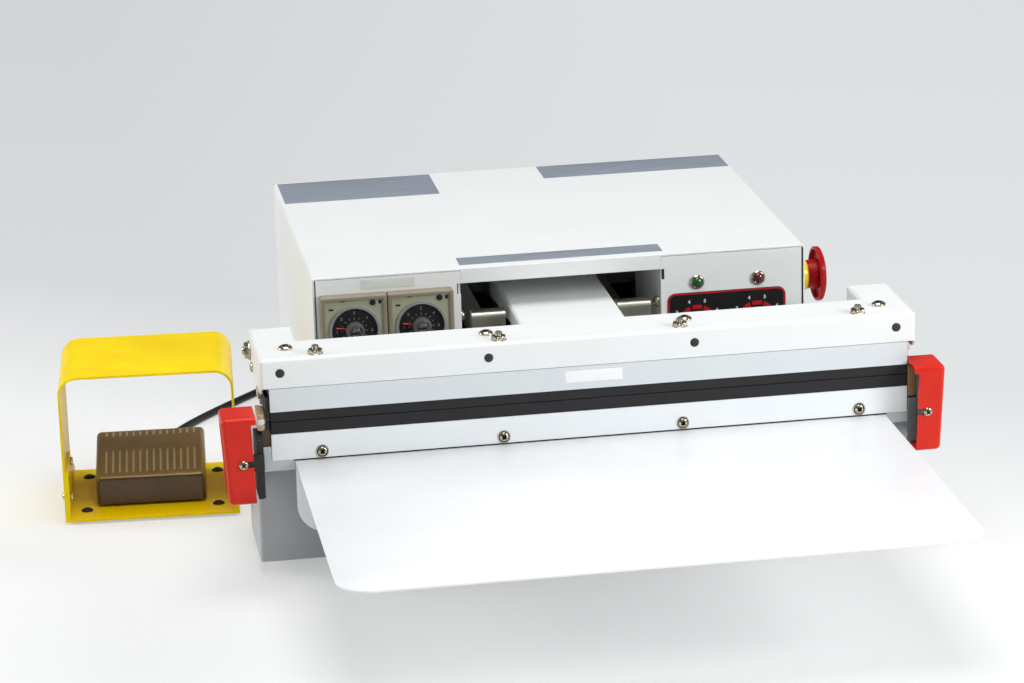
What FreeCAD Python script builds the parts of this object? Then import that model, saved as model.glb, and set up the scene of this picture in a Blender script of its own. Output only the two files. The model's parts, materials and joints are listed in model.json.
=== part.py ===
import FreeCAD, Part
import math
import os

# Table-top nozzle vacuum sealer with a pneumatic jaw, a bag tray and a guarded foot switch.
# Millimetres. X runs to the right, Y to the back, Z up. While it is drawn, x = 0 is the middle
# of the machine, y = 0 the front face of the jaws and z = 0 the table. On export every piece
# is moved by one vector, so that the origin lies on the table under the middle of the whole.

V = FreeCAD.Vector
AXIS_X = V(1, 0, 0)
AXIS_Y = V(0, 1, 0)
AXIS_Z = V(0, 0, 1)

# Sheet metal, fits and clearances
sheet = 1.5
edge_radius = 2.5
running_gap = 0.05
free_gap = 0.3
screw_gap = 0.4

# Feet and casing
foot_height = 10.0
foot_radius = 12.0
casing_half = 179.5
casing_front = 119.0
casing_back = 397.0
casing_top = 183.0
window_half = 73.0
lintel_height = 11.0
louvre_below_top = 33.0
partition_depth = 96.0
notch_width = 2.6
notch_height = 8.0
deck_top = 82.7
chassis_wall_x = 118.0
louvre_count = 9
louvre_pitch = 14.0
louvre_length = 46.0
louvre_height = 3.5

# Front frame under the jaws
frame_reach = 9.5
frame_front = 19.5
frame_wing_back = 92.0
frame_lip = 14.0
front_foot_inset = 18.5
front_foot_y = 58.0
rear_foot_side = 29.5
rear_foot_inset = 30.0

# Jaw bars, rubbers and element
bar_half = 223.5
bar_depth = 34.0
bar_wall = 3.0
lower_bar_bottom = 90.3
lower_bar_top = 109.0
seal_z = 117.6
press_gap = 0.4
upper_bar_bottom = 125.0
upper_bar_top = 150.0
strip_depth = 8.2
strip_setback = 0.6
pad_front = 11.0
pad_back = 28.0
element_width = 8.0
element_thickness = 0.2
cloth_thickness = 0.3
cloth_front = 10.0
cloth_back = 30.0
carrier_reach = 6.5
carrier_depth = 38.0
carrier_upstand = 10.2
carrier_wall = 3.0
terminal_depth = 24.0
terminal_low = 101.0
terminal_high = 124.0
terminal_width = 5.5

# Jaw cover, arms and pivot
cover_reach = 5.9
cover_depth = 42.0
cover_top = 162.5
cover_drop = 20.6
cover_end_drop = 25.8
cover_slant = 6.0
cover_arm_width = 29.4
cover_arm_back = 77.0
pivot_y = 73.5
pivot_z = 148.0
jaw_open_deg = 20.0
bolt_radius = 5.0
bolt_head_radius = 8.5
bolt_head_height = 5.2
post_inset = 17.5
post_web_length = 26.5
post_thickness = 5.0
post_round = 10.0
post_foot_width = 20.0
post_front = 62.0
post_web_top = 132.0
arm_inset = 7.5
arm_thickness = 5.0
arm_round = 11.0
arm_low = 131.0
arm_tab = 3.0
insulator_depth = 14.0
insulator_low = 126.0
insulator_step = 131.0
insulator_high = 136.0

# Jaw fasteners
stud_inner_x = 63.5
stud_end_inset = 33.5
stud_y = 8.5
stud_radius = 2.5
stud_rise = 5.8
nut_radius = 4.8
nut_height = 3.6
cover_screw_inner_x = 70.0
cover_screw_end_inset = 14.5
cover_screw_y = 23.0
dome_radius = 5.0
dome_height = 3.2
side_screw_y = 58.0
side_screw_z = 140.5
side_screw_radius = 3.6
side_screw_shank = 2.0
plug_inner_x = 72.0
plug_end_inset = 8.0
plug_z = 152.5
plug_radius = 3.4
plug_height = 0.8
lower_screw_inner_x = 63.0
lower_screw_end_inset = 34.5
lower_screw_z = 94.8
lower_screw_radius = 3.9
lower_screw_height = 2.0

# Lift beam, clevis, rod and cylinder
beam_half = 38.0
beam_top = 152.5
beam_sheet = 2.5
beam_back = 212.0
beam_flange_front = 12.0
beam_flange_back = 17.5
beam_screw_x = 29.0
beam_screw_radius = 4.0
beam_screw_height = 2.2
lever_length = 112.0
clevis_drop = 14.0
clevis_cheek_inner = 11.0
clevis_cheek_thick = 4.0
clevis_cheek_front = 15.0
clevis_wall = 3.2
pin_radius = 5.0
pin_slot_gap = 1.0
eye_radius = 9.0
eye_side_gap = 1.0
lift_rod_radius = 8.0
lift_travel = 41.2
lift_body_half = 26.0
lift_body_top = 74.0
rod_low_end = 58.0
deck_hole_half = 20.0

# Nozzles, housings, carriage and drive
nozzle_x = 53.0
nozzle_width = 18.0
nozzle_height = 5.0
nozzle_wall = 0.9
nozzle_low = 119.0
nozzle_tip = 70.0
nozzle_pinch = 20.0
nozzle_length = 276.0
housing_inner = 41.0
housing_outer = 65.5
housing_depth = 10.0
housing_top = 149.2
housing_sheet = 1.2
housing_round = 4.0
housing_slot_gap = 1.5
housing_hole_radius = 1.6
housing_hole_z = 137.6
partition_screw_y = 127.0
partition_screw_below_top = 37.0
partition_screw_radius = 4.2
partition_screw_height = 4.4
drive_radius = 10.0
drive_z = 104.7
drive_front = 216.0
drive_back_gap = 4.0
drive_block = 9.0
drive_block_half = 15.0
carriage_front = 322.0
carriage_depth = 30.0
carriage_block_half = 18.0
carriage_bar_depth = 16.0
carriage_bar_half = 66.0
carriage_bar_low = 113.0
carriage_bar_high = 129.0

# Bag tray
tray_inset = 15.5
tray_reach = 257.0
tray_z = 89.2
tray_corner = 22.0
tray_flange = 52.0
tray_flange_corner = 20.0
tray_hem = 5.0
tray_screw_x = (60.0, 165.0)
tray_screw_radius = 2.4
tray_screw_height = 1.8

# End guards and their brackets
guard_front = -18.0
guard_back = 9.0
guard_low = 66.0
guard_high = 128.0
guard_wall = 1.6
guard_round = 4.0
guard_left_reach = 11.5
guard_left_width = 23.5
guard_right_reach = 0.5
guard_right_width = 22.5
guard_taper = 3.2
guard_step_z = 123.0
guard_step = 3.4
guard_slot_height = 4.6
guard_screw_z = 95.0
guard_screw_in = 9.6
guard_screw_radius = 4.0
guard_screw_shank = 2.0
guard_screw_height = 2.6
bracket_sheet = 3.0
bracket_back = 32.0
bracket_tab = 12.0

# Timers
timer_size = 47.6
timer_pitch = 48.0
timer_beside_window = 54.0
timer_below_top = 36.3
timer_bezel_depth = 8.0
timer_cutout = 45.0
timer_body_depth = 78.0
timer_face_recess = 1.2
timer_dial_radius = 18.4
timer_disc_radius = 16.4
timer_disc_depth = 1.0
timer_knob_radius = 6.0
timer_knob_height = 7.0
timer_knob_chamfer = 1.0
timer_dial_drop = 1.8
pointer_length = 13.8
pointer_width = 1.4
pointer_height = 1.0
timer_stem_radius = 2.0
timer_stem_length = 5.0

# Right panel: lamps, plate, potentiometers and knobs
lamp_x = (99.7, 144.8)
lamp_below_top = 22.3
lamp_radius = 3.7
lamp_bezel_radius = 5.4
lamp_bezel_height = 2.0
lamp_rise = 1.8
lamp_body_depth = 9.0
plate_left = 77.7
plate_right = 165.1
plate_below_top = 30.0
plate_height = 49.0
plate_thickness = 0.6
plate_corner = 6.0
knob_x = (99.3, 143.8)
knob_below_top = 53.7
knob_skirt_radius = 10.0
knob_skirt_height = 3.0
knob_radius = 8.0
knob_length = 13.0
knob_edge = 1.2
knob_mark = 1.0
pot_radius = 8.5
pot_depth = 12.0
pot_bush_radius = 4.5
pot_shaft_radius = 3.0
pot_shaft_length = 10.0

# Emergency stop on the right side
stop_y = 161.0
stop_below_top = 35.0
stop_collar_radius = 11.8
stop_collar_length = 7.0
stop_neck_radius = 10.6
stop_neck_length = 13.0
stop_head_radius = 20.6
stop_head_wall = 2.2
stop_head_rim = 4.4
stop_head_cavity = 3.0
stop_head_dome = 2.6
stop_grip_groups = 6
stop_grip_turn = 5.0
stop_grip_radius = 0.6
stop_travel = 5.0
stop_shaft_radius = 6.0
stop_block_half = 14.0
stop_block_length = 34.0

# Electrical and pneumatic pieces inside
transformer_from_back = 67.0
transformer_width = 68.2
transformer_depth = 30.0
transformer_height = 60.0
transformer_window = 12.0
winding_margin = 11.0
valve_side_gap = 13.5
valve_block_width = 74.0
valve_front = 218.0
valve_from_back = 67.0
valve_block_height = 22.0
valve_count = 3
valve_width = 24.0
valve_length = 38.4
valve_height = 34.0
ejector_radius = 11.0
board_side_gap = 13.5
board_width = 78.0
board_from_back = 25.0
board_length = 148.0
board_rise = 8.0
board_thickness = 1.6
relay_count = 4
relay_width = 16.0
relay_depth = 28.0
relay_height = 16.0

# Back panel fittings
inlet_side_gap = 31.5
inlet_z = 42.0
inlet_half_width = 24.0
inlet_half_height = 14.0
inlet_flange = 3.0
inlet_depth = 20.0
port_x = (48.0, 76.0)
port_z = 42.0
port_radius = 7.0
port_length = 15.0
port_bore = 4.0
gland_x = -12.0
gland_z = 24.0
gland_nut_radius = 9.5
gland_nut_length = 7.0
gland_neck_radius = 6.5
gland_length = 18.0

# Foot switch
unit_x = -296.1
unit_y = 207.0
unit_yaw = -4.0
unit_half_width = 63.2
unit_half_depth = 56.0
unit_pad = 2.0
unit_sheet = 2.0
unit_flange = 38.0
arch_top = 112.0
arch_depth = 98.0
arch_radius = 14.0
arch_thickness = 1.8
grommet_x = 48.0
grommet_y = 37.3
grommet_radius = 4.6
grommet_rise = 2.2
arch_screw_y = (-40.0, -8.0)
arch_screw_z = (17.0, 33.0)
arch_screw_radius = 3.2
arch_screw_head = 2.4
pedal_center = -0.6
pedal_half_width = 40.3
pedal_front = -32.0
pedal_back = 46.0
pedal_front_z = 26.5
pedal_back_z = 38.0
pedal_wall = 2.5
pedal_round = 4.0
pedal_deg = 6.0
pedal_pivot_y = -20.0
pedal_pivot_z = 12.0
pedal_front_gap = 2.0
pedal_gap = 5.0
pedal_rib_count = 14
pedal_rib_pitch = 5.0
pedal_rib_width = 1.6
pedal_rib_depth = 0.7
pedal_pin_radius = 2.5
body_inset = 3.6
body_top = 21.0
body_front_gap = 6.0
body_back_gap = 3.0
relief_x = 5.3
relief_length = 20.0
relief_radius = 4.4
relief_tip = 3.4
relief_run = 26.0

# Foot switch cable: diameter, coil and the hand-laid route points
cable_d = 6.0
cable_length = 1500.0
bend_share = 0.45
coil_x = -95.0
coil_behind_casing = 51.0
coil_mid_radius = 33.0
coil_rings = 2
coil_layers = 3
route_from_switch = (
    (-277.0, 328.0, 3.2),
    (-260.0, 356.0, 3.1),
    (-236.0, 386.0, 3.1),
    (-211.0, 414.0, 3.1),
    (-186.0, 441.0, 3.1),
    (-159.0, 466.0, 3.1),
    (-130.0, 482.0, 3.1),
    (-103.0, 484.0, 3.1),
)
route_from_gland = (
    (-12.0, 443.0, 24.0),
    (-20.0, 467.0, 15.0),
    (-39.0, 480.5, 11.5),
    (-63.0, 484.6, 13.6),
    (-87.0, 484.0, 15.0),
)

# Places worked out from the sizes above
frame_half = bar_half + frame_reach
carrier_half = bar_half + carrier_reach
cover_half = bar_half + cover_reach
post_inner_x = bar_half - post_inset
arm_inner_x = bar_half - arm_inset
tray_half = bar_half - tray_inset
front_foot_x = bar_half - front_foot_inset
rear_foot_x = casing_half - rear_foot_side
stud_x = (stud_inner_x, bar_half - stud_end_inset)
cover_screw_x = (cover_screw_inner_x, bar_half - cover_screw_end_inset)
plug_x = (plug_inner_x, bar_half - plug_end_inset)
lower_screw_x = (lower_screw_inner_x, bar_half - lower_screw_end_inset)
guard_left_in = bar_half + guard_left_reach
guard_left_out = guard_left_in + guard_left_width
guard_right_in = bar_half + guard_right_reach
guard_right_out = guard_right_in + guard_right_width
timer_center_x = -window_half - timer_beside_window
timer_center_z = casing_top - timer_below_top
lamp_z = casing_top - lamp_below_top
plate_high = casing_top - plate_below_top
plate_low = plate_high - plate_height
knob_z = casing_top - knob_below_top
stop_z = casing_top - stop_below_top
louvre_z = casing_top - louvre_below_top
partition_screw_z = casing_top - partition_screw_below_top
drive_back = casing_back - drive_back_gap
inlet_x = casing_half - inlet_side_gap
coil_y = casing_back + coil_behind_casing
cover_low = cover_top - cover_drop
cover_end_low = cover_top - cover_end_drop
cover_arm_in = cover_half - cover_arm_width
casing_inner = casing_half - sheet
panel_back = casing_front + sheet
back_inner = casing_back - sheet
deck_low = deck_top - sheet
pin_y = pivot_y + lever_length
pin_z = pivot_z - clevis_drop
pad_top = seal_z - cloth_thickness - element_thickness
relief_z = unit_pad + unit_sheet + relief_radius + free_gap
relief_start = pedal_back - body_back_gap
upper_rubber_low = seal_z + press_gap
bezel_front = casing_front - timer_bezel_depth
knob_face = casing_front - plate_thickness - free_gap
nodes = {}


# Shapes between stated limits

def box(x0, x1, y0, y1, z0, z1):
    return Part.makeBox(x1 - x0, y1 - y0, z1 - z0, V(x0, y0, z0))


def rod(radius, start, along, length):
    return Part.makeCylinder(radius, length, start, along)


def tube(radius, bore, start, along, length):
    return rod(radius, start, along, length).cut(rod(bore, start, along, length))


def cap(radius, height, start, along):
    # A dome: the part of a ball above the circle of this radius.
    ball = (radius * radius + height * height) / (2 * height)
    low = math.degrees(math.asin((ball - height) / ball))
    dome = Part.makeSphere(ball, V(0, 0, 0), AXIS_Z, low, 90, 360)
    dome.translate(V(0, 0, height - ball))
    dome.Placement = FreeCAD.Placement(start, FreeCAD.Rotation(AXIS_Z, along)).multiply(dome.Placement)
    return dome


def polygon(points):
    return Part.Face(Part.makePolygon(points + points[:1]))


def along_x(outline, x0, x1):
    return polygon([V(x0, y, z) for y, z in outline]).extrude(V(x1 - x0, 0, 0))


def along_y(outline, y0, y1):
    return polygon([V(x, y0, z) for x, z in outline]).extrude(V(0, y1 - y0, 0))


def along_z(outline, z0, z1):
    return polygon([V(x, y, z0) for x, y in outline]).extrude(V(0, 0, z1 - z0))


def hexagon(radius, start, along, length):
    turn = FreeCAD.Rotation(AXIS_Z, along)
    corners = []
    for i in range(6):
        angle = math.radians(60 * i)
        corners.append(start + turn.multVec(V(radius * math.cos(angle), radius * math.sin(angle), 0)))
    return polygon(corners).extrude(turn.multVec(V(0, 0, length)))


def soften(shape, radius, wanted):
    # Rounds the straight edges whose middle point the test accepts.
    edges = []
    for edge in shape.Edges:
        middle = edge.valueAt((edge.FirstParameter + edge.LastParameter) / 2)
        if wanted(middle, edge.tangentAt(edge.FirstParameter)):
            edges.append(edge)
    return shape.makeFillet(radius, edges)


def near(a, b):
    return abs(a - b) < 0.01


def mirrored(shape):
    return shape.mirror(V(0, 0, 0), AXIS_X)


def pair(shape):
    return [shape, mirrored(shape)]


def keep(name, *solids):
    flat = []
    for item in solids:
        flat.extend(item if isinstance(item, list) else [item])
    nodes[name] = flat[0] if len(flat) == 1 else Part.makeCompound(flat)


def domed_screw(radius, height, shank, start, along, depth):
    head = cap(radius, height, start, along)
    return head.fuse(rod(shank, start, along.negative(), depth))


# Casing

def make_casing_cover():
    shell = box(-casing_half, casing_half, casing_front, casing_back, foot_height, casing_top)
    shell = soften(shell, edge_radius, lambda m, t: near(m.z, casing_top) and near(abs(m.x), casing_half))
    inside = box(-casing_inner, casing_inner, casing_front - sheet, casing_back + sheet,
                 foot_height - sheet, casing_top - sheet)
    shell = shell.cut(inside)
    lintel = box(-window_half, window_half, casing_front, panel_back,
                 casing_top - lintel_height, casing_top - sheet)
    shell = shell.fuse(lintel)
    # The neck of the emergency stop passes through the right wall.
    shell = shell.cut(rod(stop_shaft_radius + screw_gap, V(casing_half - 2 * sheet, stop_y, stop_z),
                          AXIS_X, 3 * sheet))
    keep("casing_cover", shell.removeSplitter())


def make_front_panels():
    outer = casing_inner - free_gap
    top = casing_top - sheet - free_gap
    low = foot_height + 2 * sheet

    def blank():
        face = box(window_half, outer, casing_front, panel_back, low, top)
        wall = box(window_half, window_half + sheet, casing_front, casing_front + partition_depth,
                   deck_top, top)
        panel = face.fuse(wall)
        relief = box(window_half - sheet, window_half + notch_width, casing_front - sheet,
                     panel_back + sheet, casing_top - lintel_height - notch_height,
                     casing_top - lintel_height)
        return panel.cut(relief).removeSplitter()

    screw_hole = rod(stud_radius, V(window_half - sheet, partition_screw_y, partition_screw_z),
                     AXIS_X, 3 * sheet)
    left = mirrored(blank().cut(screw_hole))
    for x in timer_centers():
        left = left.cut(box(x - timer_cutout / 2, x + timer_cutout / 2, casing_front - sheet,
                            panel_back + sheet, timer_center_z - timer_cutout / 2,
                            timer_center_z + timer_cutout / 2))
    right = blank().cut(screw_hole)
    for x in lamp_x:
        right = right.cut(rod(lamp_radius, V(x, casing_front - sheet, lamp_z), AXIS_Y, 3 * sheet))
    for x in knob_x:
        right = right.cut(rod(pot_bush_radius, V(x, casing_front - sheet, knob_z), AXIS_Y, 3 * sheet))
    keep("front_panels", left, right)


def timer_centers():
    return (timer_center_x - timer_pitch / 2, timer_center_x + timer_pitch / 2)


def make_back_panel():
    panel = box(-casing_inner + free_gap, casing_inner - free_gap, back_inner, casing_back,
                foot_height + 2 * sheet, casing_top - sheet - free_gap)
    holes = [box(inlet_x - inlet_half_width + sheet, inlet_x + inlet_half_width - sheet,
                 back_inner - sheet, casing_back + sheet,
                 inlet_z - inlet_half_height + sheet, inlet_z + inlet_half_height - sheet)]
    for x in port_x:
        holes.append(rod(port_radius - sheet, V(x, back_inner - sheet, port_z), AXIS_Y, 3 * sheet))
    holes.append(rod(gland_neck_radius, V(gland_x, back_inner - sheet, gland_z), AXIS_Y, 3 * sheet))
    span = (louvre_count - 1) * louvre_pitch
    for i in range(louvre_count):
        x = i * louvre_pitch - span / 2
        holes.append(box(x - louvre_height / 2, x + louvre_height / 2, back_inner - sheet,
                         casing_back + sheet, louvre_z - louvre_length / 2, louvre_z + louvre_length / 2))
    keep("back_panel", panel.cut(holes))


def make_chassis():
    edge = casing_inner - free_gap
    front = panel_back + free_gap
    back = back_inner - free_gap
    bottom = box(-edge, edge, front, back, foot_height, foot_height + 2 * sheet)
    bottom = bottom.cut(box(-edge - sheet, edge + sheet, front - sheet, front, 0, casing_top))
    deck = box(-edge, edge, front, back, deck_low, deck_top)
    deck = deck.cut(box(-deck_hole_half, deck_hole_half, pin_y - deck_hole_half - 4 * sheet,
                        pin_y + deck_hole_half + 10 * sheet, deck_low - sheet, deck_top + sheet))
    walls = []
    for x in (-chassis_wall_x, chassis_wall_x - sheet):
        walls.append(box(x, x + sheet, front, back, foot_height + 2 * sheet, deck_low))
    keep("chassis", bottom.fuse([deck] + walls).removeSplitter())


def make_front_frame():
    body = box(-frame_half, frame_half, frame_front, casing_front - free_gap, foot_height, deck_top)
    body = soften(body, edge_radius,
                  lambda m, t: near(m.y, frame_front) and near(abs(m.x), frame_half))
    hollow = box(-frame_half + sheet, frame_half - sheet, frame_front + sheet, casing_front + sheet,
                 foot_height - sheet, deck_low)
    body = body.cut(hollow)
    # The side wings stop short of the casing, and the deck narrows to it behind them.
    for shape in pair(box(casing_half, frame_half + sheet, frame_wing_back, casing_front + sheet,
                          foot_height - sheet, deck_low)):
        body = body.cut(shape)
    lip = box(-frame_half + sheet, frame_half - sheet, frame_front + sheet,
              frame_front + sheet + frame_lip, foot_height, foot_height + sheet)
    ledges = pair(box(front_foot_x - foot_radius - sheet, frame_half - sheet, frame_front + sheet,
                      front_foot_y + foot_radius + sheet, foot_height, foot_height + sheet))
    keep("front_frame", body.fuse([lip] + ledges).removeSplitter())


def make_feet():
    rear_y = casing_back - rear_foot_inset
    spots = [(front_foot_x, front_foot_y), (-front_foot_x, front_foot_y),
             (rear_foot_x, rear_y), (-rear_foot_x, rear_y)]
    keep("rubber_feet", [Part.makeCone(foot_radius - sheet, foot_radius, foot_height, V(x, y, 0), AXIS_Z)
                         for x, y in spots])


# Jaw pivots on the frame

def make_pivot_frames():
    x0 = post_inner_x
    x1 = x0 + post_thickness
    web_back = casing_front - plate_thickness - free_gap
    outline = [(post_front, deck_top), (web_back, deck_top), (web_back, post_web_top),
               (pivot_y + post_round, post_web_top), (pivot_y + post_round, pivot_z),
               (pivot_y - post_round, pivot_z), (post_front, post_web_top - post_round)]
    plate = along_x(outline, x0, x1)
    plate = plate.fuse(rod(post_round, V(x0, pivot_y, pivot_z), AXIS_X, post_thickness))
    plate = plate.cut(rod(bolt_radius, V(x0 - sheet, pivot_y, pivot_z), AXIS_X, post_thickness + 2 * sheet))
    web = box(x0 - post_web_length, x0, web_back - 2 * sheet, web_back, deck_top, post_web_top)
    foot = box(x0 - post_foot_width, x0, post_front, web_back, deck_top, deck_top + 2 * sheet)
    keep("pivot_frames", pair(plate.fuse([web, foot]).removeSplitter()))


def make_pivot_bolts():
    nut_thick = post_inner_x - cover_arm_in - sheet - free_gap
    inner = post_inner_x - nut_thick
    head = cover_half + screw_gap
    shank = rod(bolt_radius, V(inner, pivot_y, pivot_z), AXIS_X, head - inner)
    nut = hexagon(bolt_head_radius, V(inner, pivot_y, pivot_z), AXIS_X, nut_thick)
    collar_start = post_inner_x + post_thickness
    collar = rod(bolt_radius + 2 * sheet, V(collar_start, pivot_y, pivot_z), AXIS_X,
                 arm_inner_x - free_gap - collar_start)
    top = hexagon(bolt_head_radius, V(head, pivot_y, pivot_z), AXIS_X, bolt_head_height)
    keep("pivot_bolts", pair(shank.fuse([nut, collar, top]).removeSplitter()))


# Lower jaw

def bar_section(low, high):
    # An extruded box section with one hollow.
    outer = along_x([(0, low), (0, high), (bar_depth, high), (bar_depth, low)], -bar_half, bar_half)
    hollow = box(-bar_half - sheet, bar_half + sheet, bar_wall, bar_depth - bar_wall,
                 low + bar_wall, high - bar_wall)
    return outer.cut(hollow)


def make_lower_jaw():
    carrier = box(-carrier_half, carrier_half, 0, carrier_depth, deck_top, lower_bar_bottom)
    carrier = carrier.cut(box(-carrier_half - sheet, carrier_half + sheet, carrier_wall,
                              carrier_depth - carrier_wall, deck_top - sheet,
                              lower_bar_bottom - carrier_wall))
    end = box(-carrier_half, -bar_half - free_gap, 0, carrier_depth, lower_bar_bottom,
              lower_bar_bottom + carrier_upstand)
    keep("jaw_carrier", carrier.fuse(end).removeSplitter())

    bar = bar_section(lower_bar_bottom, lower_bar_top)
    for x in both(lower_screw_x):
        bar = bar.cut(rod(lower_screw_radius / 2, V(x, -sheet, lower_screw_z), AXIS_Y, bar_wall + 2 * sheet))
    keep("lower_jaw_bar", bar)

    strip = box(-bar_half, bar_half, strip_setback, strip_depth, lower_bar_top, seal_z)
    pad = box(-bar_half, bar_half, pad_front, pad_back, lower_bar_top, pad_top)
    keep("lower_jaw_rubber", strip, pad)


def both(values):
    return [side * value for value in values for side in (1, -1)]


def make_element():
    middle = (pad_front + pad_back) / 2
    y0 = middle - element_width / 2
    y1 = middle + element_width / 2
    end = bar_half + free_gap
    ribbon = box(-end, end, y0, y1, pad_top, pad_top + element_thickness)
    tails = pair(box(end - element_thickness, end, y0, y1, terminal_low, pad_top))
    keep("heating_element", ribbon.fuse(tails).removeSplitter())

    top = pad_top + element_thickness
    over = end + cloth_thickness
    cloth = box(-over, over, cloth_front, cloth_back, top, seal_z)
    flaps = pair(box(end, over, cloth_front, cloth_back, terminal_low, top))
    keep("release_cloth", cloth.fuse(flaps).removeSplitter())

    start = over
    block = box(start, start + terminal_width, strip_setback, strip_setback + terminal_depth,
                terminal_low, terminal_high)
    block = soften(block, sheet, lambda m, t: near(m.z, terminal_high) and near(m.y, strip_setback))
    keep("element_terminals", pair(block))


# Upper jaw, turning about the pivot bolts

def make_upper_jaw():
    bar = bar_section(upper_bar_bottom, upper_bar_top)
    bar = bar.cut(box(-bar_half - sheet, bar_half + sheet, -sheet, sheet + screw_gap,
                      cover_low - screw_gap, upper_bar_top + sheet))
    for x in both(stud_x):
        bar = bar.cut(rod(stud_radius, V(x, stud_y, upper_bar_top - bar_wall), AXIS_Z, 2 * bar_wall))
    for x in both(cover_screw_x):
        bar = bar.cut(rod(stud_radius, V(x, cover_screw_y, upper_bar_top - bar_wall), AXIS_Z, 2 * bar_wall))
    keep("upper_jaw_bar", bar)

    strip = box(-bar_half, bar_half, strip_setback, strip_depth, upper_rubber_low, upper_bar_bottom)
    pad = box(-bar_half, bar_half, pad_front, pad_back, upper_rubber_low, upper_bar_bottom)
    keep("upper_jaw_rubber", strip, pad)

    # A tan block with a white one below it at each end; the right one stays above its guard.
    blocks = []
    for side, low in ((-1, insulator_low), (1, guard_high + screw_gap)):
        tan = box(bar_half + free_gap, carrier_half, strip_setback, strip_setback + insulator_depth,
                  insulator_step, insulator_high)
        peg = rod(stud_radius, V(bar_half, insulator_depth / 2, insulator_high - bar_wall), AXIS_X, free_gap)
        white = box(bar_half + free_gap, carrier_half - sheet, strip_setback,
                    strip_setback + insulator_depth, low, insulator_step)
        for piece in (tan.fuse(peg), white):
            blocks.append(piece if side > 0 else mirrored(piece))
    keep("end_insulators", blocks)


def make_jaw_cover():
    outline = [(-cover_half, 0), (cover_half, 0), (cover_half, cover_arm_back),
               (cover_arm_in, cover_arm_back), (cover_arm_in, cover_depth),
               (-cover_arm_in, cover_depth), (-cover_arm_in, cover_arm_back),
               (-cover_half, cover_arm_back)]
    cover = along_z(outline, cover_end_low, cover_top)
    cover = soften(cover, edge_radius, lambda m, t: near(m.y, 0) and near(abs(m.x), cover_half))
    cover = cover.makeFillet(edge_radius, [edge for edge in cover.Edges if lies_on_top(edge)])
    low = cover_end_low - sheet
    roof = cover_top - sheet
    inside = box(-cover_half + sheet, cover_half - sheet, sheet, cover_depth - sheet, low, roof)
    arms = pair(box(cover_arm_in + sheet, cover_half - sheet, cover_depth - 2 * sheet,
                    cover_arm_back + sheet, low, roof))
    inside = inside.fuse(arms)
    cover = cover.cut(inside)
    # Front and back flaps are shorter than the end flaps, and the beam leaves at the back.
    cover = cover.cut(box(-cover_half + sheet, cover_half - sheet, -sheet, sheet + free_gap,
                          low, cover_low))
    cover = cover.cut(box(-cover_half + sheet, cover_half - sheet, cover_depth - sheet - free_gap,
                          cover_arm_back + sheet, low, cover_low))
    cover = cover.cut(box(-beam_half - screw_gap, beam_half + screw_gap, cover_depth - 2 * sheet,
                          cover_depth + sheet, low, beam_top + screw_gap))
    # The front lower corner of each end flap is cut off at a slant.
    slant = along_x([(-sheet, cover_low), (-sheet, low), (cover_slant, low), (cover_slant, cover_end_low),
                     (0, cover_low)], -cover_half - sheet, cover_half + sheet)
    holes = [slant]
    holes.extend(pair(rod(bolt_radius + sheet, V(cover_half - 2 * sheet, pivot_y, pivot_z),
                          AXIS_X, 3 * sheet)))
    holes.extend(pair(rod(side_screw_shank, V(cover_half - 2 * sheet, side_screw_y, side_screw_z),
                          AXIS_X, 3 * sheet)))
    for x in both(stud_x):
        holes.append(rod(stud_radius, V(x, stud_y, roof - sheet), AXIS_Z, 3 * sheet))
    for x in both(cover_screw_x):
        holes.append(rod(stud_radius, V(x, cover_screw_y, roof - sheet), AXIS_Z, 3 * sheet))
    for x in both(plug_x):
        holes.append(rod(plug_radius - plug_height, V(x, -sheet, plug_z), AXIS_Y, 3 * sheet))
    keep("jaw_cover", cover.cut(holes))

    plugs = []
    for x in both(plug_x):
        head = cap(plug_radius, plug_height, V(x, 0, plug_z), AXIS_Y.negative())
        plugs.append(head.fuse(rod(plug_radius - plug_height, V(x, 0, plug_z), AXIS_Y, sheet + free_gap)))
    keep("cover_plugs", plugs)


def lies_on_top(edge):
    middle = edge.valueAt((edge.FirstParameter + edge.LastParameter) / 2)
    return near(middle.z, cover_top)


def make_jaw_fasteners():
    top = cover_top
    studs = []
    for x in both(stud_x):
        stud = rod(stud_radius, V(x, stud_y, upper_bar_top - bar_wall), AXIS_Z,
                   top + stud_rise - upper_bar_top + bar_wall)
        nut = hexagon(nut_radius, V(x, stud_y, top), AXIS_Z, nut_height)
        washer = rod(nut_radius + screw_gap, V(x, stud_y, top), AXIS_Z, plug_height)
        studs.append(stud.fuse([nut, washer]).removeSplitter())
    screws = []
    for x in both(cover_screw_x):
        screws.append(domed_screw(dome_radius, dome_height, stud_radius, V(x, cover_screw_y, top),
                                  AXIS_Z, top - upper_bar_top + bar_wall))
    for x in (-beam_screw_x, beam_screw_x):
        screws.append(domed_screw(beam_screw_radius, beam_screw_height, stud_radius, V(x, pin_y, beam_top),
                                  AXIS_Z, 2 * beam_sheet + sheet))
    side = domed_screw(side_screw_radius, lower_screw_height, side_screw_shank,
                       V(cover_half, side_screw_y, side_screw_z), AXIS_X,
                       cover_half - arm_inner_x - arm_thickness)
    keep("jaw_fasteners", studs + screws + pair(side))


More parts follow.
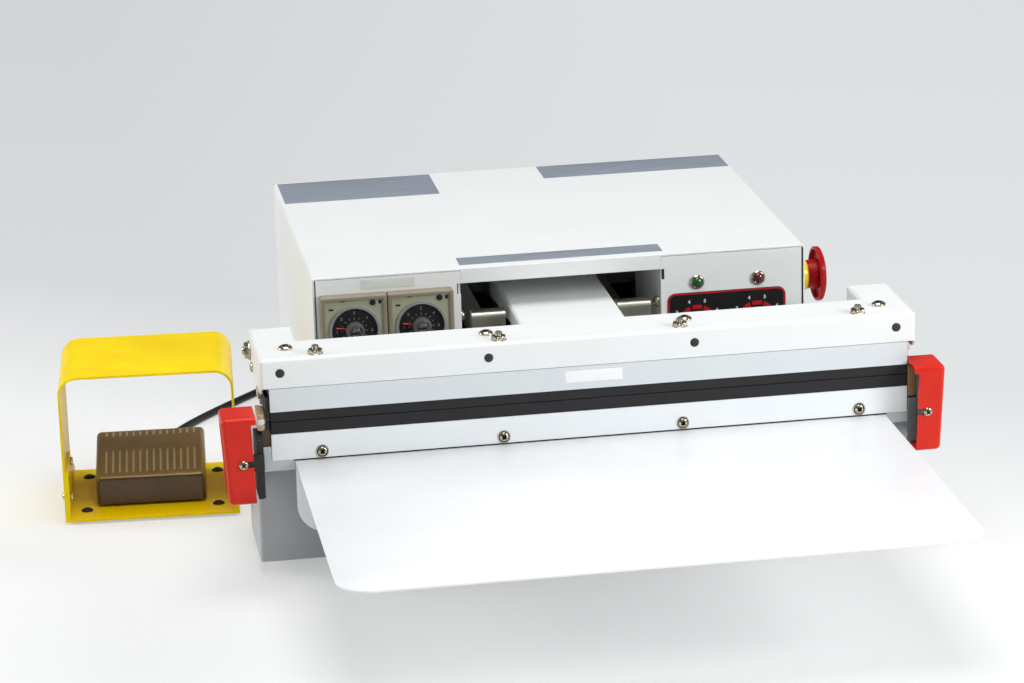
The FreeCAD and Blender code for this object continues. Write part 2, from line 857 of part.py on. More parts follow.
def make_jaw_arms():
    x0 = arm_inner_x
    back = bar_depth + arm_tab
    high = pivot_z + post_round
    outline = [(bar_depth, arm_low), (pivot_y, pivot_z - arm_round), (pivot_y, pivot_z + arm_round),
               (back, high), (bar_depth, upper_bar_top)]
    plate = along_x(outline, x0, x0 + arm_thickness)
    plate = plate.fuse(rod(arm_round, V(x0, pivot_y, pivot_z), AXIS_X, arm_thickness))
    tab = box(x0 - 2 * arm_thickness, x0, bar_depth, back, arm_low, upper_bar_top)
    arm = plate.fuse(tab).removeSplitter()
    arm = arm.cut(rod(bolt_radius + running_gap, V(x0 - sheet, pivot_y, pivot_z), AXIS_X,
                      arm_thickness + 2 * sheet))
    keep("jaw_arms", pair(arm))


def make_lift_beam():
    low_front = beam_top - beam_flange_front
    low_back = beam_top - beam_flange_back
    outline = [(bar_depth, beam_top), (bar_depth, low_front), (casing_front, low_front),
               (beam_back, low_back), (beam_back, beam_top)]
    beam = along_x(outline, -beam_half, beam_half)
    beam = soften(beam, edge_radius, lambda m, t: near(m.z, beam_top) and near(abs(m.x), beam_half))
    beam = beam.cut(box(-beam_half + beam_sheet, beam_half - beam_sheet, bar_depth + beam_sheet,
                        beam_back + sheet, 0, beam_top - beam_sheet))
    for x in (-beam_screw_x, beam_screw_x):
        beam = beam.cut(rod(stud_radius, V(x, pin_y, beam_top - 2 * beam_sheet), AXIS_Z, 3 * beam_sheet))
    keep("lift_beam", beam.removeSplitter())


def clevis_slot_end():
    # How far back the pin moves along the beam while the jaw opens, from the beam's pivot.
    turn = math.radians(jaw_open_deg)
    return lever_length * math.cos(turn) + (clevis_drop + lift_travel) * math.sin(turn)


def make_clevis():
    seat = beam_top - beam_sheet
    slot_half = pin_radius + pin_slot_gap
    slot_back = pivot_y + clevis_slot_end()
    cheek = box(clevis_cheek_inner, clevis_cheek_inner + clevis_cheek_thick,
                pin_y - slot_half - clevis_wall, slot_back + slot_half + clevis_wall,
                pin_z - slot_half - clevis_wall, seat - beam_sheet)
    cheek = soften(cheek, slot_half,
                   lambda m, t: near(m.z, pin_z - slot_half - clevis_wall) and near(abs(t.x), 1))
    ends = []
    for y in (pin_y, slot_back):
        ends.append(rod(slot_half, V(0, y, pin_z), AXIS_X, 2 * clevis_cheek_front))
    slot = box(0, 2 * clevis_cheek_front, pin_y, slot_back, pin_z - slot_half, pin_z + slot_half)
    cheek = cheek.cut(ends + [slot])
    plate = box(-beam_half + beam_sheet + free_gap, beam_half - beam_sheet - free_gap,
                pin_y - slot_half - clevis_wall, slot_back + slot_half + clevis_wall - sheet,
                seat - beam_sheet, seat)
    bracket = plate.fuse(pair(cheek)).removeSplitter()
    for x in (-beam_screw_x, beam_screw_x):
        bracket = bracket.cut(rod(stud_radius, V(x, pin_y, seat - 2 * beam_sheet), AXIS_Z, 3 * beam_sheet))
    keep("beam_clevis", bracket)


# Lift cylinder, standing on the chassis bottom

def make_lift():
    floor = foot_height + 2 * sheet
    body = box(-lift_body_half, lift_body_half, pin_y - lift_body_half, pin_y + lift_body_half,
               floor, lift_body_top)
    body = soften(body, edge_radius, lambda m, t: near(abs(t.z), 1))
    bore = rod(lift_rod_radius + running_gap, V(0, pin_y, floor + sheet), AXIS_Z, lift_body_top)
    keep("lift_cylinder", body.cut(bore))

    shaft = rod(lift_rod_radius, V(0, pin_y, rod_low_end), AXIS_Z, pin_z - rod_low_end)
    eye_half = clevis_cheek_inner - eye_side_gap
    eye = rod(eye_radius, V(-eye_half, pin_y, pin_z), AXIS_X, 2 * eye_half)
    pin_half = clevis_cheek_inner + clevis_cheek_thick + sheet
    pin = rod(pin_radius, V(-pin_half, pin_y, pin_z), AXIS_X, 2 * pin_half)
    keep("lift_rod", shaft.fuse([eye, pin]).removeSplitter())


# Nozzle unit

def make_nozzles():
    x0 = housing_inner
    x1 = housing_outer
    y0 = casing_front
    y1 = y0 + housing_depth
    shell = box(x0, x1, y0, y1, deck_top, housing_top)
    shell = soften(shell, housing_round, lambda m, t: near(m.z, housing_top) and near(m.y, y0))
    shell = shell.cut(box(x0 + housing_sheet, x1 - housing_sheet, y0 + housing_sheet, y1 + sheet,
                          deck_top - sheet, housing_top - housing_sheet))
    mouth_half = nozzle_width / 2 + housing_slot_gap
    mouth = box(nozzle_x - mouth_half, nozzle_x + mouth_half, y0 - sheet, y0 + 2 * housing_round,
                nozzle_low - housing_slot_gap, nozzle_low + nozzle_height + housing_slot_gap)
    hole = rod(housing_hole_radius, V(x0 + 3 * housing_sheet, y0 - sheet, housing_hole_z), AXIS_Y, 4 * sheet)
    keep("nozzle_housings", pair(shell.cut([mouth, hole])))

    # A flat tube whose front end is pinched to a thin mouth.
    half = nozzle_width / 2
    low = nozzle_low
    high = nozzle_low + nozzle_height
    tip = nozzle_tip
    outer = box(nozzle_x - half, nozzle_x + half, tip, tip + nozzle_length, low, high)
    outer = soften(outer, nozzle_height / 2 - running_gap,
                   lambda m, t: near(abs(m.x - nozzle_x), half) and near(abs(t.y), 1))
    inner = box(nozzle_x - half + nozzle_height / 2, nozzle_x + half - nozzle_height / 2, tip - sheet,
                tip + nozzle_length + sheet, low + nozzle_wall, high - nozzle_wall)
    chamfer = along_x([(tip - sheet, high), (tip - sheet, high - nozzle_wall), (tip + nozzle_pinch, high)],
                      nozzle_x - nozzle_width, nozzle_x + nozzle_width)
    keep("nozzle_tubes", pair(outer.cut([inner, chamfer])))


def make_nozzle_drive():
    rail = rod(drive_radius, V(0, drive_front, drive_z), AXIS_Y, drive_back - drive_front)
    blocks = []
    for y in (drive_front, drive_back - drive_block):
        blocks.append(box(-drive_block_half, drive_block_half, y, y + drive_block, deck_top,
                          drive_z + drive_radius + sheet))
    keep("nozzle_drive", rail.fuse(blocks).removeSplitter())

    front = carriage_front
    block = box(-carriage_block_half, carriage_block_half, front, front + carriage_depth,
                deck_top + carriage_wall_gap(), carriage_bar_high)
    middle = front + carriage_depth / 2
    cross = box(-carriage_bar_half, carriage_bar_half, middle - carriage_bar_depth / 2,
                middle + carriage_bar_depth / 2, carriage_bar_low, carriage_bar_high)
    carriage = block.fuse(cross).removeSplitter()
    carriage = carriage.cut(rod(drive_radius + running_gap, V(0, front - sheet, drive_z), AXIS_Y,
                                carriage_depth + 2 * sheet))
    for side in (-1, 1):
        x = side * nozzle_x
        carriage = carriage.cut(box(x - nozzle_width / 2, x + nozzle_width / 2, front,
                                    front + carriage_depth, nozzle_low, nozzle_low + nozzle_height))
    keep("nozzle_carriage", carriage)


def carriage_wall_gap():
    return drive_z - deck_top - drive_radius - bar_wall


# Bag tray

def make_tray():
    low = tray_z - sheet
    shelf = box(-tray_half, tray_half, -tray_reach, 0, low, tray_z)
    shelf = soften(shelf, tray_corner, lambda m, t: near(m.y, -tray_reach) and near(abs(t.z), 1))
    flange = box(-tray_half, tray_half, -sheet, 0, tray_z - tray_flange, low)
    flange = soften(flange, tray_flange_corner,
                    lambda m, t: near(m.z, tray_z - tray_flange) and near(abs(t.y), 1))
    hem = box(-tray_half + tray_corner, tray_half - tray_corner, -tray_reach,
              -tray_reach + sheet, tray_z - tray_hem, low)
    tray = shelf.fuse([flange, hem]).removeSplitter()
    for x in both(tray_screw_x):
        tray = tray.cut(rod(tray_screw_radius / 2, V(x, -2 * sheet, tray_screw_z()), AXIS_Y, 3 * sheet))
    keep("bag_tray", tray)


def tray_screw_z():
    return (deck_top + tray_z - sheet) / 2


def make_frame_screws():
    screws = []
    for x in both(lower_screw_x):
        screws.append(domed_screw(lower_screw_radius, lower_screw_height, lower_screw_radius / 2,
                                  V(x, 0, lower_screw_z), AXIS_Y.negative(), bar_wall))
    for x in both(tray_screw_x):
        screws.append(domed_screw(tray_screw_radius, tray_screw_height, tray_screw_radius / 2,
                                  V(x, -sheet, tray_screw_z()), AXIS_Y.negative(), sheet))
    inward = domed_screw(partition_screw_radius, partition_screw_height, stud_radius,
                         V(window_half, partition_screw_y, partition_screw_z),
                         AXIS_X.negative(), sheet + screw_gap)
    guards = [mirrored(guard_screw(guard_left_in)), guard_screw(guard_right_in)]
    keep("frame_screws", screws + pair(inward) + guards)


# End guards

def guard(inner, outer):
    # The front outline leans: the outer edge comes in towards the bottom, and the inner edge
    # has a step under the top.
    outline = [(outer, guard_high), (inner, guard_high), (inner, guard_step_z),
               (inner + guard_step, guard_step_z), (inner + guard_step / 2, guard_low),
               (outer - guard_taper, guard_low)]
    body = along_y(outline, guard_front, guard_back)
    body = soften(body, guard_round,
                  lambda m, t: near(m.y, guard_front) and (near(m.z, guard_high)
                                                           or m.x > outer - guard_taper))
    high = guard_high - guard_wall
    low = guard_low + guard_wall
    cavity = [(outer - guard_wall, high), (inner - guard_wall, high), (inner - guard_wall, low),
              (outer - guard_taper - guard_wall, low)]
    body = body.cut(along_y(cavity, guard_front + guard_wall, guard_back + guard_wall))
    screw_x = inner + guard_screw_in
    slot = box(inner - guard_wall, screw_x, guard_front - sheet, guard_front + 2 * guard_wall,
               guard_screw_z - guard_slot_height / 2, guard_screw_z + guard_slot_height / 2)
    hole = rod(guard_slot_height / 2, V(screw_x, guard_front - sheet, guard_screw_z), AXIS_Y, 3 * guard_wall)
    return body.cut([slot, hole])


def guard_bracket(inner, packer):
    # A plate beside the jaw's end, with a tab that reaches behind the guard's front to the screw.
    plate_in = carrier_half
    low = guard_low + guard_wall + free_gap
    plate = box(plate_in, plate_in + bracket_sheet, guard_front + guard_wall + bracket_sheet, bracket_back,
                deck_top, guard_step_z - sheet)
    plate = plate.fuse(box(plate_in, plate_in + bracket_sheet, guard_front + guard_wall + bracket_sheet,
                           frame_front - free_gap, low, deck_top))
    if packer:
        # On the right a packer stands where the carrier has its upright end on the left,
        # and a flange covers the carrier's end in front.
        plate = plate.fuse(box(bar_half + free_gap, plate_in, 0, bracket_back, lower_bar_bottom,
                               lower_bar_bottom + carrier_upstand))
        plate = plate.fuse(box(bar_half + free_gap, plate_in, -bracket_sheet, 0, low,
                               lower_bar_bottom + carrier_upstand))
    screw_x = inner + guard_screw_in
    tab = box(plate_in, screw_x + bracket_tab / 2, guard_front + guard_wall,
              guard_front + guard_wall + bracket_sheet, guard_screw_z - bracket_tab / 2,
              guard_screw_z + bracket_tab / 2)
    bracket = plate.fuse(tab).removeSplitter()
    return bracket.cut(rod(guard_screw_shank, V(screw_x, guard_front, guard_screw_z), AXIS_Y,
                           4 * bracket_sheet))


def guard_screw(inner):
    return domed_screw(guard_screw_radius, guard_screw_height, guard_screw_shank,
                       V(inner + guard_screw_in, guard_front, guard_screw_z), AXIS_Y.negative(),
                       guard_wall + bracket_sheet)


def make_guards():
    keep("end_guards", mirrored(guard(guard_left_in, guard_left_out)),
         guard(guard_right_in, guard_right_out))
    keep("guard_brackets", mirrored(guard_bracket(guard_left_in, False)),
         guard_bracket(guard_right_in, True))


# Timers

def make_timers():
    housings = []
    half = timer_size / 2
    for x in timer_centers():
        bezel = box(x - half, x + half, bezel_front, casing_front, timer_center_z - half,
                    timer_center_z + half)
        bezel = soften(bezel, sheet, lambda m, t: near(m.y, bezel_front) or near(abs(t.y), 1))
        face = box(x - half + 2 * sheet, x + half - 2 * sheet, bezel_front - sheet,
                   bezel_front + timer_face_recess, timer_center_z - half + 2 * sheet,
                   timer_center_z + half - 2 * sheet)
        dial_z = timer_center_z - timer_dial_drop
        ring = tube(timer_dial_radius, timer_disc_radius, V(x, bezel_front, dial_z), AXIS_Y,
                    timer_face_recess + timer_disc_depth)
        disc = rod(timer_disc_radius, V(x, bezel_front, dial_z), AXIS_Y,
                   timer_face_recess + timer_disc_depth)
        stem = rod(timer_stem_radius + running_gap, V(x, bezel_front, dial_z), AXIS_Y,
                   timer_face_recess + timer_disc_depth + timer_stem_length)
        body_half = timer_cutout / 2 - free_gap
        body = box(x - body_half, x + body_half, casing_front, casing_front + timer_body_depth,
                   timer_center_z - body_half, timer_center_z + body_half)
        housings.append(bezel.cut([face, disc]).fuse([body, ring]).cut(stem).removeSplitter())
    keep("timer_housings", housings)
    for number, x in enumerate(timer_centers(), 1):
        dial_z = timer_center_z - timer_dial_drop
        base = bezel_front + timer_face_recess + timer_disc_depth - free_gap
        tip = base - timer_knob_height
        knob = rod(timer_knob_radius, V(x, tip, dial_z), AXIS_Y, timer_knob_height)
        knob = knob.makeChamfer(timer_knob_chamfer,
                                [edge for edge in knob.Edges if near(edge.CenterOfMass.y, tip)])
        stem = rod(timer_stem_radius, V(x, base, dial_z), AXIS_Y, timer_stem_length)
        pointer = box(x - pointer_length, x - timer_knob_radius / 2, base - pointer_height, base,
                      dial_z - pointer_width / 2, dial_z + pointer_width / 2)
        keep("timer_knob_%d" % number, knob.fuse([stem, pointer]).removeSplitter())


# Lamps, control plate and knobs

def make_controls():
    # Each lamp is a chrome ring on the panel and a lens whose body passes through it.
    for name, x in zip(("green_lamp", "red_lamp"), lamp_x):
        ring = rod(lamp_bezel_radius, V(x, casing_front, lamp_z), AXIS_Y.negative(), lamp_bezel_height)
        ring = ring.makeChamfer(lamp_bezel_height / 2,
                                [edge for edge in ring.Edges
                                 if near(edge.CenterOfMass.y, casing_front - lamp_bezel_height)])
        ring = ring.cut(rod(lamp_radius, V(x, casing_front - 2 * lamp_bezel_height, lamp_z),
                            AXIS_Y, 4 * lamp_bezel_height))
        face = casing_front - lamp_bezel_height
        lens = rod(lamp_radius, V(x, face, lamp_z), AXIS_Y, lamp_bezel_height + lamp_body_depth)
        keep(name, ring, lens.fuse(cap(lamp_radius, lamp_rise, V(x, face, lamp_z), AXIS_Y.negative())))

    plate = box(plate_left, plate_right, casing_front - plate_thickness, casing_front, plate_low, plate_high)
    plate = soften(plate, plate_corner, lambda m, t: near(abs(t.y), 1))
    for x in knob_x:
        plate = plate.cut(rod(pot_bush_radius, V(x, casing_front - sheet, knob_z), AXIS_Y, 3 * sheet))
    keep("control_plate", plate)

    pots = []
    for number, x in enumerate(knob_x):
        can = rod(pot_radius, V(x, panel_back, knob_z), AXIS_Y, pot_depth)
        bush = rod(pot_bush_radius, V(x, knob_face + free_gap, knob_z), AXIS_Y,
                   panel_back - knob_face - free_gap)
        socket = rod(pot_shaft_radius + running_gap, V(x, knob_face, knob_z), AXIS_Y,
                     pot_shaft_length + sheet)
        pots.append(can.fuse(bush).cut(socket).removeSplitter())
        tip = knob_face - knob_length
        grip = rod(knob_radius, V(x, tip, knob_z), AXIS_Y, knob_length)
        grip = grip.makeChamfer(knob_edge, [edge for edge in grip.Edges if near(edge.CenterOfMass.y, tip)])
        skirt = rod(knob_skirt_radius, V(x, knob_face - knob_skirt_height, knob_z), AXIS_Y,
                    knob_skirt_height)
        mark = box(x - knob_mark / 2, x + knob_mark / 2, tip - knob_mark / 2, tip + knob_mark,
                   knob_z, knob_z + knob_radius - knob_edge)
        shaft = rod(pot_shaft_radius, V(x, knob_face, knob_z), AXIS_Y, pot_shaft_length)
        name = ("cooling_knob", "sealing_knob")[number]
        keep(name, grip.fuse([skirt, mark, shaft]).removeSplitter())
    keep("switch_blocks", pots + [stop_contact_block()])


def stop_contact_block():
    inner = casing_inner
    block = box(inner - stop_block_length, inner, stop_y - stop_block_half, stop_y + stop_block_half,
                stop_z - stop_block_half, stop_z + stop_block_half)
    return block.cut(rod(stop_shaft_radius + running_gap, V(inner - stop_block_length / 2, stop_y, stop_z),
                         AXIS_X, stop_block_length))


# Emergency stop

def make_stop():
    wall = casing_half
    center = V(wall, stop_y, stop_z)
    collar = rod(stop_collar_radius, center, AXIS_X, stop_collar_length)
    seat = rod(stop_neck_radius + free_gap, V(wall + sheet, stop_y, stop_z), AXIS_X, stop_neck_length)
    bore = rod(stop_shaft_radius + running_gap, V(wall - sheet, stop_y, stop_z), AXIS_X, stop_neck_length)
    collar = collar.cut([seat, bore])
    keep("stop_collar", collar)

    neck_start = wall + sheet + stop_travel + free_gap
    neck = rod(stop_neck_radius, V(neck_start, stop_y, stop_z), AXIS_X, wall + stop_neck_length - neck_start)
    shaft_start = casing_inner - stop_block_length / 2 + stop_travel + free_gap
    shaft = rod(stop_shaft_radius, V(shaft_start, stop_y, stop_z), AXIS_X, neck_start - shaft_start)
    hub = rod(stop_shaft_radius, V(wall + stop_neck_length, stop_y, stop_z), AXIS_X, stop_head_rim)
    keep("stop_plunger", neck.fuse([shaft, hub]).removeSplitter())

    start = wall + stop_neck_length + free_gap
    # The head is a shallow cup around the neck, with groups of three fine grooves in its rim.
    rim = rod(stop_head_radius, V(start, stop_y, stop_z), AXIS_X, stop_head_rim)
    cavity = tube(stop_head_radius - stop_head_wall, stop_neck_radius, V(start, stop_y, stop_z),
                  AXIS_X, stop_head_cavity)
    grips = [cavity]
    for group in range(stop_grip_groups):
        for step in (-1, 0, 1):
            angle = 2 * math.pi * group / stop_grip_groups + math.radians(step * stop_grip_turn)
            grips.append(rod(stop_grip_radius, V(start - sheet, stop_y + stop_head_radius * math.cos(angle),
                                                 stop_z + stop_head_radius * math.sin(angle)),
                             AXIS_X, stop_head_rim + 2 * sheet))
    dome = cap(stop_head_radius - stop_head_wall, stop_head_dome,
               V(start + stop_head_rim, stop_y, stop_z), AXIS_X)
    socket = rod(stop_shaft_radius + running_gap, V(start - sheet, stop_y, stop_z), AXIS_X,
                 stop_head_rim + sheet + free_gap)
    keep("stop_head", rim.cut(grips).fuse(dome).cut(socket).removeSplitter())


# Pieces inside the casing

def make_inside():
    floor = foot_height + 2 * sheet
    transformer_y = casing_back - transformer_from_back
    right = chassis_wall_x - sheet - free_gap
    left = right - transformer_width
    core = box(left, right, transformer_y - transformer_depth / 2, transformer_y + transformer_depth / 2,
               floor, floor + transformer_height)
    window = box(left + transformer_window, right - transformer_window,
                 transformer_y - transformer_depth, transformer_y + transformer_depth,
                 floor + transformer_window, floor + transformer_height - transformer_window)
    core = core.cut(window)
    winding = box(left + transformer_window + free_gap, right - transformer_window - free_gap,
                  transformer_y - transformer_depth / 2 - winding_margin,
                  transformer_y + transformer_depth / 2 + winding_margin,
                  floor + transformer_window, floor + transformer_height - transformer_window - free_gap)
    keep("transformer", core, winding)

    valve_right = casing_half - valve_side_gap
    valve_left = valve_right - valve_block_width
    valve_back = casing_back - valve_from_back
    block = box(valve_left, valve_right, valve_front, valve_back, deck_top, deck_top + valve_block_height)
    pieces = [block]
    pitch = (valve_back - valve_front) / valve_count
    for i in range(valve_count):
        y = valve_front + (i + 0.5) * pitch
        pieces.append(box(valve_left + 3 * sheet, valve_left + 3 * sheet + valve_length, y - valve_width / 2,
                          y + valve_width / 2, deck_top + valve_block_height,
                          deck_top + valve_block_height + valve_height))
    ejector = rod(ejector_radius, V(valve_right - ejector_radius, valve_front,
                                    deck_top + valve_block_height + ejector_radius), AXIS_Y,
                  valve_back - valve_front)
    pieces.append(ejector)
    keep("valve_block", pieces)

    base = deck_top + board_rise
    board_left = -casing_half + board_side_gap
    board_right = board_left + board_width
    board_back = casing_back - board_from_back
    board_front = board_back - board_length
    board = box(board_left, board_right, board_front, board_back, base, base + board_thickness)
    posts = []
    for x in (board_left + 2 * edge_radius, board_right - 2 * edge_radius):
        for y in (board_front + 2 * edge_radius, board_back - 2 * edge_radius):
            posts.append(rod(edge_radius, V(x, y, deck_top), AXIS_Z, board_rise))
    pieces = [board.fuse(posts)]
    pitch = (board_back - board_front) / relay_count
    for i in range(relay_count):
        y = board_front + (i + 0.5) * pitch
        pieces.append(box(board_left + relay_width, board_left + 2 * relay_width, y - relay_depth / 2,
                          y + relay_depth / 2, base + board_thickness,
                          base + board_thickness + relay_height))
    keep("control_board", pieces)


# Back panel fittings

def make_fittings():
    flange = box(inlet_x - inlet_half_width, inlet_x + inlet_half_width, casing_back,
                 casing_back + inlet_flange, inlet_z - inlet_half_height, inlet_z + inlet_half_height)
    body = box(inlet_x - inlet_half_width + sheet, inlet_x + inlet_half_width - sheet,
               casing_back - inlet_depth, casing_back, inlet_z - inlet_half_height + sheet,
               inlet_z + inlet_half_height - sheet)
    socket = box(inlet_x - inlet_half_width + 4 * sheet, inlet_x + inlet_half_width - 4 * sheet,
                 casing_back - inlet_depth + 2 * sheet, casing_back + 2 * inlet_flange,
                 inlet_z - inlet_half_height + 3 * sheet, inlet_z + inlet_half_height - 3 * sheet)
    blades = []
    for step in (-1, 0, 1):
        x = inlet_x + step * inlet_half_width / 3
        blades.append(box(x - sheet, x + sheet, casing_back - inlet_depth, casing_back,
                          inlet_z - 2 * sheet, inlet_z + 2 * sheet))
    keep("mains_inlet", flange.fuse(body).cut(socket).fuse(blades).removeSplitter())

    ports = []
    for x in port_x:
        nut = hexagon(port_radius + sheet, V(x, casing_back, port_z), AXIS_Y, port_length / 3)
        neck = rod(port_radius, V(x, casing_back, port_z), AXIS_Y, port_length)
        tail = rod(port_radius - sheet, V(x, back_inner - 2 * sheet, port_z), AXIS_Y, 3 * sheet)
        bore = rod(port_bore, V(x, casing_back - sheet, port_z), AXIS_Y, port_length + 2 * sheet)
        ports.append(nut.fuse([neck, tail]).cut(bore).removeSplitter())
    keep("air_ports", ports)

    nut = hexagon(gland_nut_radius, V(gland_x, casing_back, gland_z), AXIS_Y, gland_nut_length)
    neck = rod(gland_neck_radius, V(gland_x, back_inner - 2 * sheet, gland_z), AXIS_Y,
               gland_length + 3 * sheet)
    keep("cable_gland", nut.fuse(neck).removeSplitter())


# Foot switch, drawn about its own middle and then placed on the table

def place_unit(shape):
    shape.rotate(V(0, 0, 0), AXIS_Z, unit_yaw)
    shape.translate(V(unit_x, unit_y, 0))
    return shape


def unit_point(x, y, z):
    angle = math.radians(unit_yaw)
    return V(unit_x + x * math.cos(angle) - y * math.sin(angle),
             unit_y + x * math.sin(angle) + y * math.cos(angle), z)


def make_foot_base():
    w = unit_half_width - arch_thickness
    d = unit_half_depth
    floor = unit_pad
    plate = box(-w, w, -d, d, floor, floor + unit_sheet)
    sides = pair(box(w - unit_sheet, w, -d, d, floor + unit_sheet, floor + unit_flange))
    # Each side flange slopes down behind the guard.
    slope = along_x([(d + sheet, floor + 3 * unit_sheet), (d + sheet, floor + 2 * unit_flange),
                     (-d + arch_depth / 3, floor + 2 * unit_flange),
                     (-d + arch_depth / 2, floor + unit_flange),
                     (d - unit_pad, floor + 3 * unit_sheet)], -2 * w, 2 * w)
    base = plate.fuse([side.cut(slope) for side in sides]).removeSplitter()
    for x in (-grommet_x, grommet_x):
        for y in (-grommet_y, grommet_y):
            base = base.cut(rod(grommet_radius - sheet, V(x, y, 0), AXIS_Z, 3 * unit_sheet))
    for y, z in zip(arch_screw_y, arch_screw_z):
        base = base.cut(rod(arch_screw_radius / 2, V(-2 * w, y, z), AXIS_X, 4 * w))
    keep("foot_base", place_unit(base))


def make_foot_guard():
    w = unit_half_width
    t = arch_thickness
    front = -unit_half_depth
    back = front + arch_depth
    low = unit_pad
    outer = box(-w, w, front, back, low, arch_top)
    outer = soften(outer, arch_radius, lambda m, t0: near(m.z, arch_top) and near(abs(m.x), w))
    inner = box(-w + t, w - t, front - t, back + t, low - t, arch_top - t)
    inner = soften(inner, arch_radius - t, lambda m, t0: near(m.z, arch_top - t) and near(abs(m.x), w - t))
    arch = outer.cut(inner)
    for y, z in zip(arch_screw_y, arch_screw_z):
        arch = arch.cut(rod(arch_screw_radius / 2, V(-2 * w, y, z), AXIS_X, 4 * w))
    keep("foot_guard", place_unit(arch))


def make_foot_hardware():
    pieces = []
    for y, z in zip(arch_screw_y, arch_screw_z):
        screw = domed_screw(arch_screw_radius, arch_screw_head, arch_screw_radius / 2,
                            V(unit_half_width, y, z), AXIS_X, arch_thickness + unit_sheet)
        nut_start = unit_half_width - arch_thickness - 2 * unit_sheet
        nut = hexagon(arch_screw_radius, V(nut_start, y, z), AXIS_X, unit_sheet)
        pieces.extend(pair(screw))
        pieces.extend(pair(nut))
    top = unit_pad + unit_sheet
    for x in (-grommet_x, grommet_x):
        for y in (-grommet_y, grommet_y):
            foot = rod(grommet_radius, V(x, y, 0), AXIS_Z, unit_pad)
            stem = rod(grommet_radius - sheet, V(x, y, unit_pad), AXIS_Z, unit_sheet)
            head = cap(grommet_radius, grommet_rise, V(x, y, top), AXIS_Z)
            pieces.append(foot.fuse([stem, head]))
    keep("foot_hardware", [place_unit(piece) for piece in pieces])


def make_switch_body():
    x0 = pedal_center - pedal_half_width + body_inset
    x1 = pedal_center + pedal_half_width - body_inset
    floor = unit_pad + unit_sheet
    y0 = pedal_front + body_front_gap
    y1 = pedal_back - body_back_gap
    body = box(x0, x1, y0, y1, floor, body_top)
    body = soften(body, pedal_round - sheet, lambda m, t: near(abs(t.z), 1))
    # The top falls away to the back, which leaves room for the pedal's stroke.
    fall = [(pedal_pivot_y + 2 * pedal_round, body_top), (y1 + sheet, body_top),
            (y1 + sheet, body_top - pedal_gap)]
    body = body.cut(along_x(fall, x0 - sheet, x1 + sheet))
    hole = rod(pedal_pin_radius + running_gap, V(x0 - sheet, pedal_pivot_y, pedal_pivot_z), AXIS_X,
               x1 - x0 + 2 * sheet)
    body = body.cut(hole)
    keep("switch_body", place_unit(body))

    relief = Part.makeCone(relief_radius, relief_tip, relief_length,
                           V(relief_x, relief_start, relief_z), AXIS_Y)
    keep("strain_relief", place_unit(relief))


def make_pedal():
    x0 = pedal_center - pedal_half_width
    x1 = pedal_center + pedal_half_width
    low = unit_pad + unit_sheet + pedal_front_gap
    outline = [(pedal_front, low), (pedal_front + sheet, pedal_front_z), (pedal_back, pedal_back_z),
               (pedal_back, relief_z + relief_radius + pedal_stroke() + free_gap)]
    shell = along_x(outline, x0, x1)
    shell = soften(shell, pedal_round,
                   lambda m, t: m.z > pedal_front_z - sheet
                   or (near(abs(m.x - pedal_center), pedal_half_width) and abs(t.z) > abs(t.y)))
    w = pedal_wall
    hollow = along_x([(pedal_front + w, low - w), (pedal_front + w + sheet, pedal_front_z - w),
                      (pedal_back - w, pedal_back_z - w - sheet), (pedal_back - w, low - w)], x0 + w, x1 - w)
    shell = shell.cut(hollow)
    # Lengthwise grooves in the tread, and a row of short ones along its back edge.
    rise = (pedal_back_z - pedal_front_z) / (pedal_back - pedal_front)
    grooves = []
    middle = (pedal_back + pedal_front) / 2
    for i in range(pedal_rib_count):
        x = pedal_center + (i - (pedal_rib_count - 1) / 2) * pedal_rib_pitch
        for y0, y1 in ((pedal_front + 2 * pedal_round, middle + pedal_round),
                       (pedal_back - 3 * pedal_round, pedal_back - pedal_round)):
            z0 = pedal_front_z + rise * (y0 - pedal_front - sheet)
            z1 = pedal_front_z + rise * (y1 - pedal_front - sheet)
            grooves.append(along_x([(y0, z0 - pedal_rib_depth), (y0, z0 + pedal_rib_width),
                                    (y1, z1 + pedal_rib_width), (y1, z1 - pedal_rib_depth)],
                                   x - pedal_rib_width / 2, x + pedal_rib_width / 2))
    shell = shell.cut(grooves)
    pin = rod(pedal_pin_radius, V(x0 + w, pedal_pivot_y, pedal_pivot_z), AXIS_X, x1 - x0 - 2 * w)
    shell = shell.fuse(pin)
    keep("foot_pedal", place_unit(shell.removeSplitter()))


def pedal_stroke():
    # How far the pedal's back edge falls when it is pressed.
    return (pedal_back - pedal_pivot_y) * math.sin(math.radians(pedal_deg))


# Cable: straight runs joined by arcs, and a put-away coil

def cable_run(points):
    # Each corner gets an arc that takes this share of its shorter run on each side.
    edges = []
    radii = []
    last = points[0]
    for before, corner, after in zip(points, points[1:], points[2:]):
        run_in = corner.sub(before)
        run_out = after.sub(corner)
        reach = bend_share * min(run_in.Length, run_out.Length)
        turn = run_in.getAngle(run_out)
        run_in.normalize()
        run_out.normalize()
        start = corner.sub(run_in.multiply(reach))
        end = corner.add(run_out.multiply(reach))
        radius = reach / math.tan(turn / 2)
        toward = start.add(end).multiply(0.5).sub(corner)
        toward.normalize()
        sag = radius / math.cos(turn / 2) - radius
        edges.append(Part.LineSegment(last, start).toShape())
        edges.append(Part.Arc(start, corner.add(toward.multiply(sag)), end).toShape())
        radii.append(radius)
        last = end
    edges.append(Part.LineSegment(last, points[-1]).toShape())
    wire = Part.Wire(edges)
    first = points[1].sub(points[0])
    ring = Part.Wire(Part.makeCircle(cable_d / 2, points[0], first))
    solid = wire.makePipeShell([ring], True, False)
    section = math.pi * cable_d ** 2 / 4
    error = solid.Volume / (section * wire.Length) - 1
    print("cable run %.1f mm, least radius %.1f mm, radii %s, volume off by %.5f"
          % (wire.Length, min(radii), [round(r) for r in radii], error))
    return solid, wire.Length


